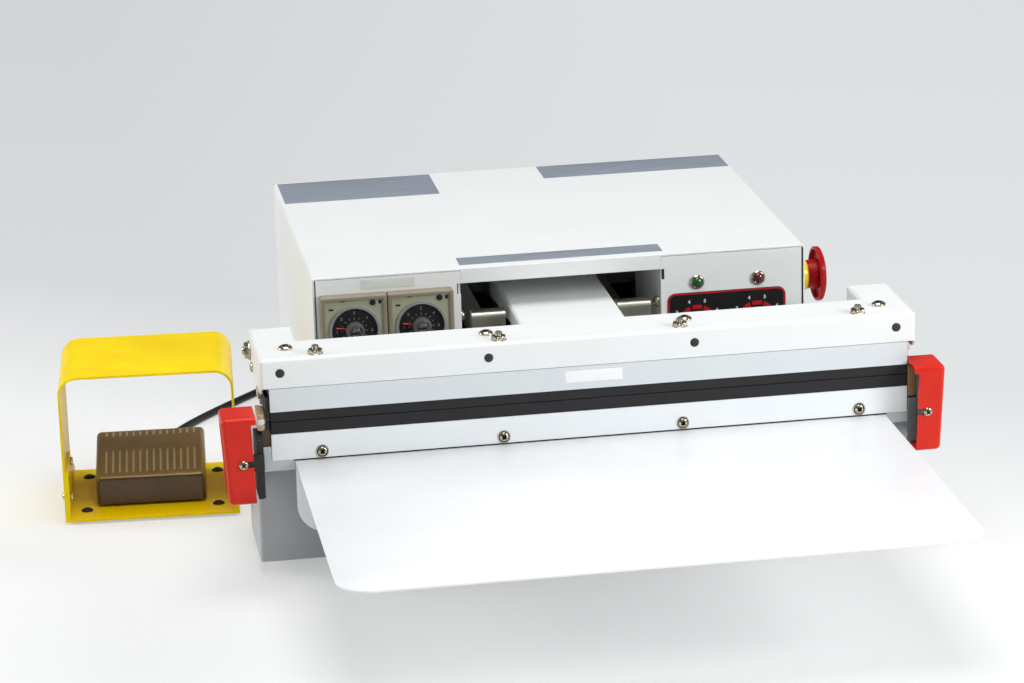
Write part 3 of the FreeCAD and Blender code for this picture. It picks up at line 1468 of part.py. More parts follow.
def make_cable():
    relief_end = relief_start + relief_length
    exit_point = unit_point(relief_x, relief_end, relief_z)
    straight = unit_point(relief_x, relief_end + relief_run, relief_z)
    first = [exit_point, straight] + [V(*point) for point in route_from_switch]
    gland_end = V(gland_x, casing_back + gland_length, gland_z)
    second = [gland_end] + [V(*point) for point in route_from_gland]
    tube_one, length_one = cable_run(first)
    tube_two, length_two = cable_run(second)
    keep("foot_cable", tube_one, tube_two)

    # Two rings of turns in the lower layers, and the outer ring alone in the top one.
    half = coil_rings * cable_d / 2
    top = coil_layers * cable_d
    section = [(coil_mid_radius - half, 0), (coil_mid_radius + half, 0), (coil_mid_radius + half, top),
               (coil_mid_radius, top), (coil_mid_radius, top - cable_d),
               (coil_mid_radius - half, top - cable_d)]
    ring = polygon([V(r, 0, z) for r, z in section]).revolve(V(0, 0, 0), AXIS_Z, 360)
    ring = ring.makeFillet(cable_d / 3, [edge for edge in ring.Edges if is_convex_rim(edge)])
    ring.translate(V(coil_x, coil_y, 0))
    keep("cable_coil", ring)
    wound = cable_length - length_one - length_two
    print("exit %s gland %s wound length %.1f mm, turns %.2f"
          % (exit_point, gland_end, wound, wound / (2 * math.pi * coil_mid_radius)))


def is_convex_rim(edge):
    if edge.Curve.TypeId != "Part::GeomCircle":
        return False
    step_z = (coil_layers - 1) * cable_d
    return not (near(edge.Curve.Radius, coil_mid_radius) and near(edge.Curve.Center.z, step_z))


def export():
    os.makedirs("parts", exist_ok=True)
    whole = FreeCAD.BoundBox()
    for name, shape in nodes.items():
        if not name.startswith("foot_cable") and name != "cable_coil":
            whole.add(shape.optimalBoundingBox(False, False))
    shift = V(-(whole.XMin + whole.XMax) / 2, -(whole.YMin + whole.YMax) / 2, -whole.ZMin)
    print("shift %.4f %.4f %.4f" % (shift.x, shift.y, shift.z))
    print("size %.1f %.1f %.1f" % (whole.XLength, whole.YLength, whole.ZLength))
    for name, shape in nodes.items():
        placed = shape.copy()
        placed.translate(shift)
        if not placed.isValid():
            print("not valid:", name)
        placed.exportStep("parts/%s.step" % name)
    print(len(nodes), "nodes")


def main():
    make_casing_cover()
    make_front_panels()
    make_back_panel()
    make_chassis()
    make_front_frame()
    make_feet()
    make_pivot_frames()
    make_pivot_bolts()
    make_lower_jaw()
    make_element()
    make_upper_jaw()
    make_jaw_cover()
    make_jaw_fasteners()
    make_jaw_arms()
    make_lift_beam()
    make_clevis()
    make_lift()
    make_nozzles()
    make_nozzle_drive()
    make_tray()
    make_frame_screws()
    make_guards()
    make_timers()
    make_controls()
    make_stop()
    make_inside()
    make_fittings()
    make_foot_base()
    make_foot_guard()
    make_foot_hardware()
    make_switch_body()
    make_pedal()
    make_cable()
    export()


main()
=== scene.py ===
import json
import math

import bpy
import numpy as np
from mathutils import Matrix, Vector


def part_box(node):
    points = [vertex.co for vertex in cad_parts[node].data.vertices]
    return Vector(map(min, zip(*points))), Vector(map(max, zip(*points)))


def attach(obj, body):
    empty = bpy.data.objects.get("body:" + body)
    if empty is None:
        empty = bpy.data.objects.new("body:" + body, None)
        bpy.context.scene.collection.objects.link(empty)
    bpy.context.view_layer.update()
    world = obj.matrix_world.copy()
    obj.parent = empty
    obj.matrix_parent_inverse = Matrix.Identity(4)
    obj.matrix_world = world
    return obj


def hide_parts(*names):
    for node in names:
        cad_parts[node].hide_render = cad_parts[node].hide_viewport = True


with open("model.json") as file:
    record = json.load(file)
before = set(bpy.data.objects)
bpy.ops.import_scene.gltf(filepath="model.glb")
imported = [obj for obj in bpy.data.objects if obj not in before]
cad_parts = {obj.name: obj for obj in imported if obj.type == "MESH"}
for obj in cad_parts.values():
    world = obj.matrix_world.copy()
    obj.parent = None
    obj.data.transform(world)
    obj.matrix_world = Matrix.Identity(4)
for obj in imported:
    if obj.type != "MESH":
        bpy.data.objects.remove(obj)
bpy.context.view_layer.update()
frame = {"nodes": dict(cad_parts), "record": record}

print("frame loaded,", len(frame["nodes"]), "nodes")

# The drawing's own zero: middle of the casing, front face of the jaws, the table. Millimetres.
casingLow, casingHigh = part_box("casing_cover")
zero = np.array([(casingLow.x + casingHigh.x) / 2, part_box("upper_jaw_bar")[0].y, 0.0])


def metres(points):  # drawing millimetres to the frame's metres
    return np.asarray(points, float) / 1000 + zero


def linear(red, green, blue):  # a colour picked on screen, 0 to 255, as shader light
    seen = np.array([red, green, blue]) / 255
    light = np.where(seen <= 0.04045, seen / 12.92, ((seen + 0.055) / 1.055) ** 2.4)
    return (*light, 1.0)


# Camera

shot = {"place": (-408.9, -2262.0, 866.4), "turn": -8.878, "down": 17.08, "roll": -1.6259, "focal": 3500.0}


def makeCamera():
    data = bpy.data.cameras.new("shot")
    camera = bpy.data.objects.new("shot", data)
    bpy.context.scene.collection.objects.link(camera)
    turn, down, roll = (math.radians(shot[key]) for key in ("turn", "down", "roll"))
    back = np.array([math.sin(turn) * math.cos(down), -math.cos(turn) * math.cos(down), math.sin(down)])
    right = np.array([math.cos(turn), math.sin(turn), 0])
    up = np.cross(back, right)
    rolledRight = math.cos(roll) * right + math.sin(roll) * up
    rolledUp = math.cos(roll) * up - math.sin(roll) * right
    place = metres(shot["place"])
    rows = [[*axes, offset] for axes, offset in zip(zip(rolledRight, rolledUp, back), place)]
    camera.matrix_world = Matrix([*rows, [0, 0, 0, 1]])
    data.sensor_width = 36
    data.lens = shot["focal"] / 1024 * 36
    data.clip_end = 50
    bpy.context.scene.camera = camera


makeCamera()
print("camera placed")


# Shader maths: a socket with operators, and a material with one method that adds any node

class Signal:
    def __init__(self, finish, out):
        self.finish, self.out = finish, out

    def maths(self, operation, *values):
        return self.finish.add("ShaderNodeMath", {"operation": operation}, dict(enumerate(values)))["Value"]

    def __add__(self, other):
        return self.maths("ADD", self, other)

    def __sub__(self, other):
        return self.maths("SUBTRACT", self, other)

    def __rsub__(self, other):
        return self.maths("SUBTRACT", other, self)

    def __mul__(self, other):
        return self.maths("MULTIPLY", self, other)

    def __truediv__(self, other):
        return self.maths("DIVIDE", self, other)

    def above(self, level, soft):  # 0 below the level, 1 above it, with a soft step
        ramp = (self - (level - soft / 2)) / soft
        return self.maths("MAXIMUM", self.maths("MINIMUM", ramp, 1.0), 0.0)

    __radd__, __rmul__ = __add__, __mul__


class Finish:
    def __init__(self, name):
        self.material = bpy.data.materials.new(name)
        self.material.use_nodes = True
        self.nodes = self.material.node_tree.nodes
        self.shader = self.nodes["Principled BSDF"]
        self.place = self.add("ShaderNodeTexCoord", {}, {})["Object"]

    def add(self, kind, settings, values):
        node = self.nodes.new(kind)
        for key, value in settings.items():
            if key == "stops":
                ramp = node.color_ramp
                while len(ramp.elements) < len(value):
                    ramp.elements.new(0.5)
                for element, (position, color) in zip(ramp.elements, value):
                    element.position, element.color = position, color
            else:
                setattr(node, key, value)
        for key, value in values.items():
            found = node.inputs[key] if isinstance(key, int) else next(
                s for s in node.inputs if key in (s.identifier, s.name))
            self.feed(found, value)
        return {out.identifier: Signal(self, out) for out in node.outputs}

    def feed(self, socket, value):
        if isinstance(value, Signal):
            self.material.node_tree.links.new(value.out, socket)
        else:
            socket.default_value = value

    def noise(self, size, detail=3.0, stretch=(1, 1, 1)):  # size of a grain in millimetres
        scale = tuple(1000 / size / s for s in stretch)
        spot = self.add("ShaderNodeMapping", {}, {"Vector": self.place, "Scale": scale})["Vector"]
        return self.add("ShaderNodeTexNoise", {}, {"Vector": spot, "Scale": 1.0, "Detail": detail})["Fac"]

    def blendColors(self, amount, low, high):
        return self.add("ShaderNodeMix", {"data_type": "RGBA"},
                        {"Factor_Float": amount, "A_Color": low, "B_Color": high})["Result_Color"]

    def bump(self, height, strength, distance):
        values = {"Height": height, "Strength": strength, "Distance": distance}
        return self.add("ShaderNodeBump", {}, values)["Normal"]

    def set(self, **values):
        names = {"color": "Base Color", "rough": "Roughness", "metal": "Metallic", "normal": "Normal",
                 "coat": "Coat Weight", "coatRough": "Coat Roughness", "specular": "Specular IOR Level"}
        for key, value in values.items():
            self.feed(self.shader.inputs[names[key]], value)
        return self.material


paintLook = {"grain": 1.6, "grainDepth": 0.00004, "patch": 60.0}


def powderCoat(name, color, shade, rough):  # fine orange peel, broad faint patches
    f = Finish(name)
    patch = f.noise(paintLook["patch"], 4.0)
    peel = f.noise(paintLook["grain"], 2.0)
    return f.set(color=f.blendColors(patch.above(0.5, 0.5), linear(*color), linear(*shade)),
                 rough=rough + (f.noise(9.0) - 0.5) * 0.14,
                 normal=f.bump(peel, 0.35, paintLook["grainDepth"]))


def glossPaint(name, color, shade, rough=0.22, shine=0.35):  # sprayed gloss, slow ripple, thin clear coat
    f = Finish(name)
    patch = f.noise(26.0, 5.0)
    ripple = f.noise(5.0, 1.0) + f.noise(0.9, 2.0) * 0.2
    return f.set(color=f.blendColors(patch.above(0.52, 0.4), linear(*color), linear(*shade)),
                 rough=rough + (f.noise(3.0, 6.0) - 0.5) * 0.12, coat=shine * 0.4, coatRough=0.12,
                 specular=shine, normal=f.bump(ripple, 0.3, 0.00006))


def brushed(name, color, shade, along, rough=0.34, metal=0.9):  # drawn metal, lines along one axis
    f = Finish(name)
    stretch = [1.0, 1.0, 1.0]
    stretch["xyz".index(along)] = 160.0
    lines = f.noise(0.35, 2.0, stretch)
    cloud = f.noise(40.0, 3.0)
    return f.set(color=f.blendColors(lines * 0.6 + cloud * 0.4, linear(*shade), linear(*color)), metal=metal,
                 rough=rough + (lines - 0.5) * 0.22, normal=f.bump(lines, 0.22, 0.00003))


def plainMetal(name, color, shade, rough=0.2, grain=1.2):  # plated or machined, small clouds and specks
    f = Finish(name)
    cloud = f.noise(grain, 5.0)
    return f.set(color=f.blendColors(cloud, linear(*shade), linear(*color)), metal=1.0,
                 rough=rough + (cloud - 0.5) * 0.2, normal=f.bump(f.noise(grain * 0.3), 0.2, 0.00002))


def moulded(name, color, shade, rough=0.42, grain=0.7, depth=0.00004, coat=0.0):  # moulded plastic or rubber
    f = Finish(name)
    texture = f.noise(grain, 3.0)
    cloud = f.noise(18.0, 3.0)
    return f.set(color=f.blendColors(cloud, linear(*shade), linear(*color)), coat=coat,
                 rough=rough + (texture - 0.5) * 0.2, normal=f.bump(texture, 0.4, depth))


def woven(name, color, shade, pitch):  # plain weave of coated glass cloth, drawn on X, Y and Z
    f = Finish(name)
    waves = []
    for axis in ((1, 0, 0), (0, 1, 0), (0, 0, 1)):
        along = f.add("ShaderNodeVectorMath", {"operation": "DOT_PRODUCT"}, {0: f.place, 1: axis})["Value"]
        waves.append(along.maths("SINE", along * (1000 * math.pi / pitch)))
    weave = (waves[0] * waves[1] + waves[1] * waves[2] + waves[0] * waves[2]) * 0.35 + 0.5
    stain = f.noise(7.0, 5.0)
    return f.set(color=f.blendColors(weave * 0.5 + stain * 0.5, linear(*shade), linear(*color)),
                 rough=0.42 + (weave - 0.5) * 0.15, normal=f.bump(weave, 0.5, 0.00012))


def lensFinish(name, color, deep):  # coloured plastic lens under a clear coat, with a darker grain
    f = Finish(name)
    return f.set(color=f.blendColors(f.noise(1.1, 2.0), linear(*deep), linear(*color)), rough=0.12,
                 coat=0.8, coatRough=0.05, normal=f.bump(f.noise(0.8, 1.0), 0.3, 0.0001))


def filmFinish(name, color, shade, rough=0.3):  # printed film, faint print bands and a satin face
    f = Finish(name)
    band = f.noise(2.4, 2.0, (8, 1, 1))
    return f.set(color=f.blendColors(band.above(0.5, 0.35), linear(*shade), linear(*color)),
                 rough=rough + (f.noise(4.0) - 0.5) * 0.1, normal=f.bump(f.noise(3.0, 1.0), 0.15, 0.00003))


def metalFlake(name, color, shade, glint):  # metallic paint: small light flakes over a darker ground
    f = Finish(name)
    flakes = f.add("ShaderNodeTexVoronoi", {}, {"Vector": f.place, "Scale": 2600.0})["Distance"]
    ground = f.blendColors(f.noise(14.0, 4.0), linear(*shade), linear(*color))
    share = (0.32 - flakes).above(0.08, 0.1) * 0.5
    return f.set(color=f.blendColors(share, ground, linear(*glint)), metal=0.45,
                 rough=0.36 + (f.noise(2.0) - 0.5) * 0.2, normal=f.bump(flakes, 0.25, 0.00004))


finishes = {
    "white_paint": powderCoat("whitePaint", (243, 245, 244), (238, 241, 240), 0.42),
    "tray_white": glossPaint("trayWhite", (251, 252, 254), (247, 249, 251), 0.36, 0.2),
    # grey paint for the front frame, made darker for the shade under the tray: partly painted shade
    "frame_paint": powderCoat("frameShadedPaint", (184, 188, 190), (177, 181, 184), 0.45),
    "zinc_steel": plainMetal("zincSteel", (186, 188, 190), (150, 152, 154), 0.36, 3.0),
    "satin_aluminium": brushed("satinAluminium", (246, 249, 250), (236, 241, 243), "x", 0.4, 0.15),
    "black_rubber": moulded("blackRubber", (28, 28, 30), (20, 20, 22), 0.65, 0.8),
    "pad_rubber": moulded("padRubber", (27, 26, 29), (19, 18, 21), 0.66, 1.4),
    "element_metal": brushed("elementMetal", (170, 160, 150), (120, 105, 95), "x", 0.4),
    "cloth_tan": woven("clothTan", (150, 112, 66), (98, 70, 38), 1.1),
    "terminal_tan": woven("terminalTan", (180, 144, 96), (128, 96, 56), 1.2),
    "insulator_tan": moulded("insulatorTan", (206, 188, 158), (190, 170, 138), 0.5, 1.0),
    "guard_red": glossPaint("guardRed", (222, 44, 26), (205, 34, 20), 0.3, 0.2),
    "bracket_grey": moulded("bracketGrey", (122, 128, 126), (96, 102, 100), 0.5, 1.2),
    "nickel": plainMetal("nickelPlate", (218, 210, 192), (168, 158, 138), 0.16),
    "plug_black": moulded("plugBlack", (46, 47, 52), (30, 31, 34), 0.5, 0.6),
    "stainless": plainMetal("stainlessSheet", (214, 210, 198), (186, 182, 168), 0.34, 9.0),
    "timer_shell": moulded("timerShell", (176, 176, 149), (165, 165, 138), 0.45, 0.5),
    "timer_clear": moulded("timerClear", (112, 110, 108), (70, 68, 68), 0.12, 2.0, 0.0001, 0.8),
    "lens_green": lensFinish("lensGreen", (4, 104, 42), (0, 58, 22)),
    "lens_red": lensFinish("lensRed", (104, 12, 18), (58, 5, 9)),
    "plate_black": filmFinish("plateBlack", (17, 17, 19), (11, 11, 13), 0.4),
    "device_black": moulded("deviceBlack", (38, 38, 41), (28, 28, 31), 0.45, 0.9),
    "knob_black": moulded("knobBlack", (30, 30, 32), (22, 22, 24), 0.35, 0.6),
    "stop_yellow": glossPaint("stopYellow", (248, 214, 20), (240, 200, 10)),
    "stop_red": glossPaint("stopRed", (176, 16, 20), (150, 9, 14), 0.34, 0.16),
    "cylinder_grey": brushed("cylinderGrey", (172, 176, 180), (140, 144, 150), "z", 0.42),
    "core_steel": plainMetal("coreSteel", (74, 74, 78), (48, 48, 52), 0.5, 4.0),
    "board_green": moulded("boardGreen", (24, 92, 58), (16, 70, 44), 0.4, 0.8),
    "port_brass": plainMetal("portBrass", (206, 176, 104), (170, 138, 74), 0.28),
    "guard_yellow": glossPaint("guardYellow", (255, 226, 0), (255, 214, 0), 0.34, 0.12),
    "pedal_bronze": metalFlake("pedalBronze", (172, 147, 112), (142, 119, 88), (206, 186, 150)),
    "cable_black": moulded("cableBlack", (26, 26, 29), (17, 17, 19), 0.42, 1.0),
}
extras = {
    "dialBlack": moulded("dialBlack", (30, 30, 33), (20, 20, 22), 0.4, 1.2),
    "dialRing": moulded("dialRing", (168, 170, 172), (120, 122, 124), 0.15, 2.0, 0.00006, 0.7),
    "shellEdge": moulded("shellEdge", (150, 140, 121), (139, 129, 110), 0.4, 0.8),
    # painted shade: black for the casing's inside, the chassis top, the gap strips and the upper bar's ends
    "paintedShadeBlack": moulded("paintedShadeBlack", (13, 13, 13), (8, 8, 8), 0.75, 1.5),
    # painted shade in screw recesses and in the rings and discs round heads and threads
    "recessShade": plainMetal("recessShade", (46, 42, 36), (22, 20, 17), 0.5),
    # painted shade: a dark copy of the bracket grey for the shaded left bracket and plates
    "bracketShade": moulded("bracketShade", (30, 31, 32), (20, 21, 22), 0.55, 1.2),
    # painted shade: a darker copy of the satin aluminium for the upper bar
    "upperShadedSatin": brushed("upperShadedSatin", (228, 234, 236), (216, 223, 226), "x", 0.4, 0.2),
    # painted shade: a darker copy of the satin aluminium for the carrier
    "carrierShadedSatin": brushed("carrierShadedSatin", (200, 205, 207), (184, 190, 192), "x", 0.4, 0.2),
    # painted shade on the pedal's front face, painted highlights on its groove floors
    "pedalFrontShade": metalFlake("pedalFrontShade", (98, 80, 60), (78, 62, 46), (150, 132, 104)),
    "treadHighlight": metalFlake("treadHighlight", (232, 222, 196), (214, 202, 172), (246, 240, 222)),
    "printGrey": filmFinish("printGrey", (142, 142, 136), (128, 128, 122)),
    "knobCentre": plainMetal("knobCentre", (206, 204, 200), (120, 118, 114), 0.16, 0.8),
    # painted shade: a dark copy of the terminal cloth for the shaded left block
    "terminalShade": woven("terminalShade", (84, 62, 36), (54, 39, 22), 1.2),
    "terminalPale": moulded("terminalPale", (198, 176, 142), (182, 158, 122), 0.5, 1.0),
    "insulatorWhite": moulded("insulatorWhite", (236, 236, 234), (222, 222, 220), 0.4, 0.9),
    "printWhite": filmFinish("printWhite", (236, 236, 232), (224, 224, 220)),
    "printRed": filmFinish("printRed", (208, 24, 38), (186, 14, 28)),
    "pointerRed": filmFinish("pointerRed", (232, 40, 48), (206, 26, 34)),
    "labelBlue": filmFinish("labelBlue", (147, 155, 167), (137, 145, 158), 0.36),
    "labelFaint": filmFinish("labelFaint", (226, 229, 224), (219, 222, 217), 0.36),
    "labelWhite": filmFinish("labelWhite", (252, 252, 251), (247, 248, 248), 0.36),
}
print("materials made,", len(finishes) + len(extras))


# CAD nodes: better materials, welded and with small rounded edges

edgeLook = {"width": 0.0004, "segments": 2, "limit": 34.0, "split": 48.0,
            "thin": ("heating_element", "release_cloth", "control_plate")}


def dressNode(name):
    node = frame["nodes"][name]
    node.data.polygons.foreach_set("use_smooth", [True] * len(node.data.polygons))
    node.modifiers.new("weld", "WELD").merge_threshold = 0.000004
    flat = node.modifiers.new("flat", "DECIMATE")
    flat.decimate_type, flat.angle_limit, flat.delimit = "DISSOLVE", math.radians(0.6), {"MATERIAL"}
    if name not in edgeLook["thin"]:
        bevel = node.modifiers.new("edges", "BEVEL")
        bevel.width, bevel.segments = edgeLook["width"], edgeLook["segments"]
        bevel.limit_method, bevel.angle_limit = "ANGLE", math.radians(edgeLook["limit"])
        bevel.use_clamp_overlap = True
    node.modifiers.new("corners", "EDGE_SPLIT").split_angle = math.radians(edgeLook["split"])
    node.modifiers.new("shading", "WEIGHTED_NORMAL").keep_sharp = True


def paint(name, materials, choose=None):  # choose takes the faces' middles in drawing millimetres
    mesh = frame["nodes"][name].data
    mesh.materials.clear()
    for material in materials:
        mesh.materials.append(material)
    if choose:
        middles = np.empty(len(mesh.polygons) * 3)
        mesh.polygons.foreach_get("center", middles)
        picked = choose((middles.reshape(-1, 3) - zero) * 1000)
        mesh.polygons.foreach_set("material_index", picked.astype(np.int32))


slotOf = {entry["node"]: entry["material_slot"] for entry in frame["record"]["subparts"]}
for nodeName in frame["nodes"]:
    paint(nodeName, [finishes[slotOf[nodeName]]])
    dressNode(nodeName)

timers = {"middles": (-151.0, -103.0), "height": 146.7, "dialHeight": 144.9, "front": 111.0, "floor": 113.2,
          "disc": 16.4, "ring": 18.4, "edge": 20.7, "back": 119.2}


def timerFaces(p):  # the dial's floor black, its ring glossy grey, the housing's edge darker
    x = np.abs(p[:, 0][:, None] - np.array(timers["middles"])).min(1)
    off = np.hypot(x, p[:, 2] - timers["dialHeight"])
    picked = np.zeros(len(p))
    picked[(off < timers["ring"] + 0.4) & (p[:, 1] < timers["floor"] + 0.1)] = 2
    picked[(off < timers["disc"] - 0.05) & (p[:, 1] < timers["floor"] + 0.1)] = 1
    rim = (x > timers["edge"]) | (np.abs(p[:, 2] - timers["height"]) > timers["edge"])
    picked[(p[:, 1] < timers["back"]) & rim] = 3
    return picked


# Painted shade: faces behind the casing's front, between its sides and under its lid are painted black for
# the shade inside the casing, as is the chassis above its deck.
inside = {"front": 122, "side": 178.6, "lid": 181.4, "deck": 82.6, "barEnd": 223.4}
lamps = {"places": (("green_lamp", 99.7), ("red_lamp", 144.8)), "height": 160.7, "lens": 3.76}
plugTop = 9.0  # the foot guard's rubber plugs end below this height

timerColors = [finishes["timer_shell"], extras["dialBlack"], extras["dialRing"], extras["shellEdge"]]
paint("timer_housings", timerColors, timerFaces)
paint("casing_cover", [finishes["white_paint"], extras["paintedShadeBlack"]],
      lambda p: (p[:, 1] > inside["front"]) & (abs(p[:, 0]) < inside["side"]) & (p[:, 2] < inside["lid"]))
paint("chassis", [finishes["zinc_steel"], extras["paintedShadeBlack"]], lambda p: p[:, 2] > inside["deck"])
# The upper bar takes a darker copy of the satin aluminium, a painted shade.
# The upper bar's end faces get the same black; they show as a dark strip at the left end.
paint("upper_jaw_bar", [extras["upperShadedSatin"], extras["paintedShadeBlack"]],
      lambda p: abs(p[:, 0]) > inside["barEnd"])
# The carrier takes a darker copy of the satin aluminium, a painted shade.
paint("jaw_carrier", [extras["carrierShadedSatin"]])
for lampName, x in lamps["places"]:
    paint(lampName, [finishes[slotOf[lampName]], finishes["nickel"]],
          lambda p, x=x: (np.hypot(p[:, 0] - x, p[:, 2] - lamps["height"]) > lamps["lens"]))
paint("foot_hardware", [finishes["nickel"], finishes["black_rubber"]], lambda p: p[:, 2] < plugTop)

tread = {"middle": (-296.1, 207.0), "turn": -4.0, "front": -32.0, "low": 26.5, "rise": 11.5 / 78,
         "pitch": 5.0, "shift": 0.6, "half": 34, "start": -24.5}


def treadGrooves(p):  # painted light and shade, in the foot switch's own axes: the grooves' floors light as highlights, the front face dark as shade
    turn = math.radians(tread["turn"])
    x, y = p[:, 0] - tread["middle"][0], p[:, 1] - tread["middle"][1]
    along, across = math.cos(turn) * y - math.sin(turn) * x, math.cos(turn) * x + math.sin(turn) * y
    under = tread["low"] + tread["rise"] * (along - tread["front"]) - p[:, 2]
    shifted = across + tread["shift"]
    row = shifted / tread["pitch"] + 0.5
    inRow = (abs(row - np.round(row)) < 0.22) & (abs(shifted) < tread["half"]) & (along > tread["start"])
    return np.where(along < -30.0, 2, (under > 0.1) & (under < 1.0) & inRow)


paint("foot_pedal", [finishes["pedal_bronze"], extras["treadHighlight"], extras["pedalFrontShade"]], treadGrooves)
print("nodes painted")


# Mesh helpers: a surface is an array of points over two parameters

def gridFaces(rows, columns, closedRows, closedColumns):  # quads between neighbours, wrapped where closed
    i = np.arange(rows if closedRows else rows - 1)
    j = np.arange(columns if closedColumns else columns - 1)
    a, b = np.meshgrid(i, j, indexing="ij")
    corners = [(a, b), (a, b + 1), (a + 1, b + 1), (a + 1, b)]
    return np.stack([(r % rows) * columns + c % columns for r, c in corners], -1).reshape(-1, 4)


def makePiece(name, surfaces, materials, body, angle=35.0):
    # A surface is its points, whether its rows and its columns close, and its material, if not the first.
    points, faces, picks, start = [], [], [], 0
    for surface, closedRows, closedColumns, *pick in surfaces:
        rows, columns = surface.shape[:2]
        points.append(surface.reshape(-1, 3))
        faces.append(gridFaces(rows, columns, closedRows, closedColumns) + start)
        picks.append(np.broadcast_to(np.int32(pick[0] if pick else 0), len(faces[-1])))
        start += rows * columns
    points, faces = metres(np.concatenate(points)), np.concatenate(faces)
    mesh = bpy.data.meshes.new(name)
    mesh.vertices.add(len(points))
    mesh.vertices.foreach_set("co", points.ravel())
    mesh.loops.add(faces.size)
    mesh.loops.foreach_set("vertex_index", faces.ravel().astype(np.int32))
    mesh.polygons.add(len(faces))
    mesh.polygons.foreach_set("loop_start", np.arange(0, faces.size, 4, dtype=np.int32))
    mesh.polygons.foreach_set("material_index", np.concatenate(picks))
    mesh.update(calc_edges=True)
    mesh.validate()
    tidyMesh(mesh)
    mesh.shade_smooth()
    mesh.set_sharp_from_angle(angle=math.radians(angle))
    for material in materials if isinstance(materials, list) else [materials]:
        mesh.materials.append(material)
    piece = bpy.data.objects.new(name, mesh)
    bpy.context.scene.collection.objects.link(piece)
    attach(piece, body)
    return piece


def tidyMesh(mesh):  # closes seams and poles, then turns every face outwards
    import bmesh
    work = bmesh.new()
    work.from_mesh(mesh)
    bmesh.ops.remove_doubles(work, verts=work.verts, dist=0.000003)
    bmesh.ops.recalc_face_normals(work, faces=work.faces)
    work.to_mesh(mesh)
    work.free()


def turned(profile, segments, place, axis, round=lambda angle, r, h: (r, h)):
    # A profile of radius and height turned about an axis: r(cos a, sin a) across, h along.
    profile = np.asarray(profile, float)
    angle = np.linspace(0, 2 * np.pi, segments, endpoint=False)
    r, a = np.meshgrid(profile[:, 0], angle, indexing="ij")
    h = np.broadcast_to(profile[:, 1][:, None], r.shape)
    r, h = round(a, r, h)
    along = np.array(Vector(axis).normalized())
    across = np.array(Vector(axis).orthogonal().normalized())
    other = np.cross(along, across)
    surface = (np.array(place) + (r * np.cos(a))[..., None] * across + (r * np.sin(a))[..., None] * other
               + h[..., None] * along)
    return surface, False, True


def roundedOutline(width, height, radius, count=48):
    # A rectangle with round corners: each quarter is an arc, joined by the straight sides.
    corner = np.linspace(0, np.pi / 2, count // 4)
    parts = []
    for quarter, (sx, sy) in enumerate(((1, 1), (-1, 1), (-1, -1), (1, -1))):
        a = corner + quarter * np.pi / 2
        parts.append(np.stack([sx * (width / 2 - radius) + radius * np.cos(a),
                               sy * (height / 2 - radius) + radius * np.sin(a)], -1))
    return np.concatenate(parts)


def filmOn(place, across, up, size, radius, thickness):
    # A thin plate: its outline shrinks to the middle in front, falls to the back, shrinks again.
    outline = roundedOutline(size[0], size[1], radius)
    across, up = np.array(across, float), np.array(up, float)
    normal = np.cross(across, up)
    shrink = [(0.0, 1.0), (1.0 - 0.6 / min(size), 1.0), (1.0, 0.5), (1.0, 0.0), (0.0, 0.0)]
    rows = [np.array(place) + s * (outline[:, :1] * across + outline[:, 1:] * up) + t * thickness * normal
            for s, t in shrink]
    return np.stack(rows), False, True


def lineAround(place, across, up, size, radius, width, thickness):
    # A frame line: a small rectangle section carried round a rounded outline.
    across, up = np.array(across, float), np.array(up, float)
    normal = np.cross(across, up)
    outer = roundedOutline(size[0], size[1], radius)
    inner = roundedOutline(size[0] - 2 * width, size[1] - 2 * width, max(radius - width, 0.1))
    rows = []
    for edge, lift in ((outer, 0), (outer, thickness), (inner, thickness), (inner, 0)):
        rows.append(np.array(place) + edge[:, :1] * across + edge[:, 1:] * up + lift * normal)
    return np.stack(rows), True, True


def ringPart(place, across, up, radii, angles, thickness, count=14):
    # A flat piece of a ring between two radii and two angles, measured from up, clockwise.
    across, up = np.array(across, float), np.array(up, float)
    normal = np.cross(across, up)
    a = np.radians(np.linspace(angles[0], angles[1], count))
    direction = np.sin(a)[:, None] * across + np.cos(a)[:, None] * up
    rows = []
    for radius, lift in ((radii[0], 0), (radii[0], thickness), (radii[1], thickness), (radii[1], 0)):
        rows.append(np.array(place) + radius * direction + lift * normal)
    body = np.stack(rows)
    ends = [np.stack([body[:2, k], body[[3, 2], k]]) for k in (0, -1)]
    return [(body, True, False)] + [(end, False, False) for end in ends]


# Cable of the foot switch, one spline from the strain relief through the put-away coil to the gland

cable = {"diameter": 6.0, "length": 1500.0, "coil": (-95.0, 448.0), "outer": 36.0, "inner": 30.0,
         "entry": 102.5, "turn": 1825.0, "perTurn": 14}
fromSwitch = [(-286.418, 269.477, 8.7), (-284.605, 295.414, 8.7), (-277.0, 328.0, 3.2), (-260.0, 356.0, 3.1),
              (-236.0, 386.0, 3.1), (-211.0, 414.0, 3.1), (-186.0, 441.0, 3.1), (-159.0, 466.0, 3.1),
              (-130.0, 482.0, 3.1)]
toGland = [(-63.0, 484.6, 13.6), (-39.0, 480.5, 11.5), (-20.0, 467.0, 15.0), (-12.0, 443.0, 24.0),
           (-12.0, 415.0, 24.0)]


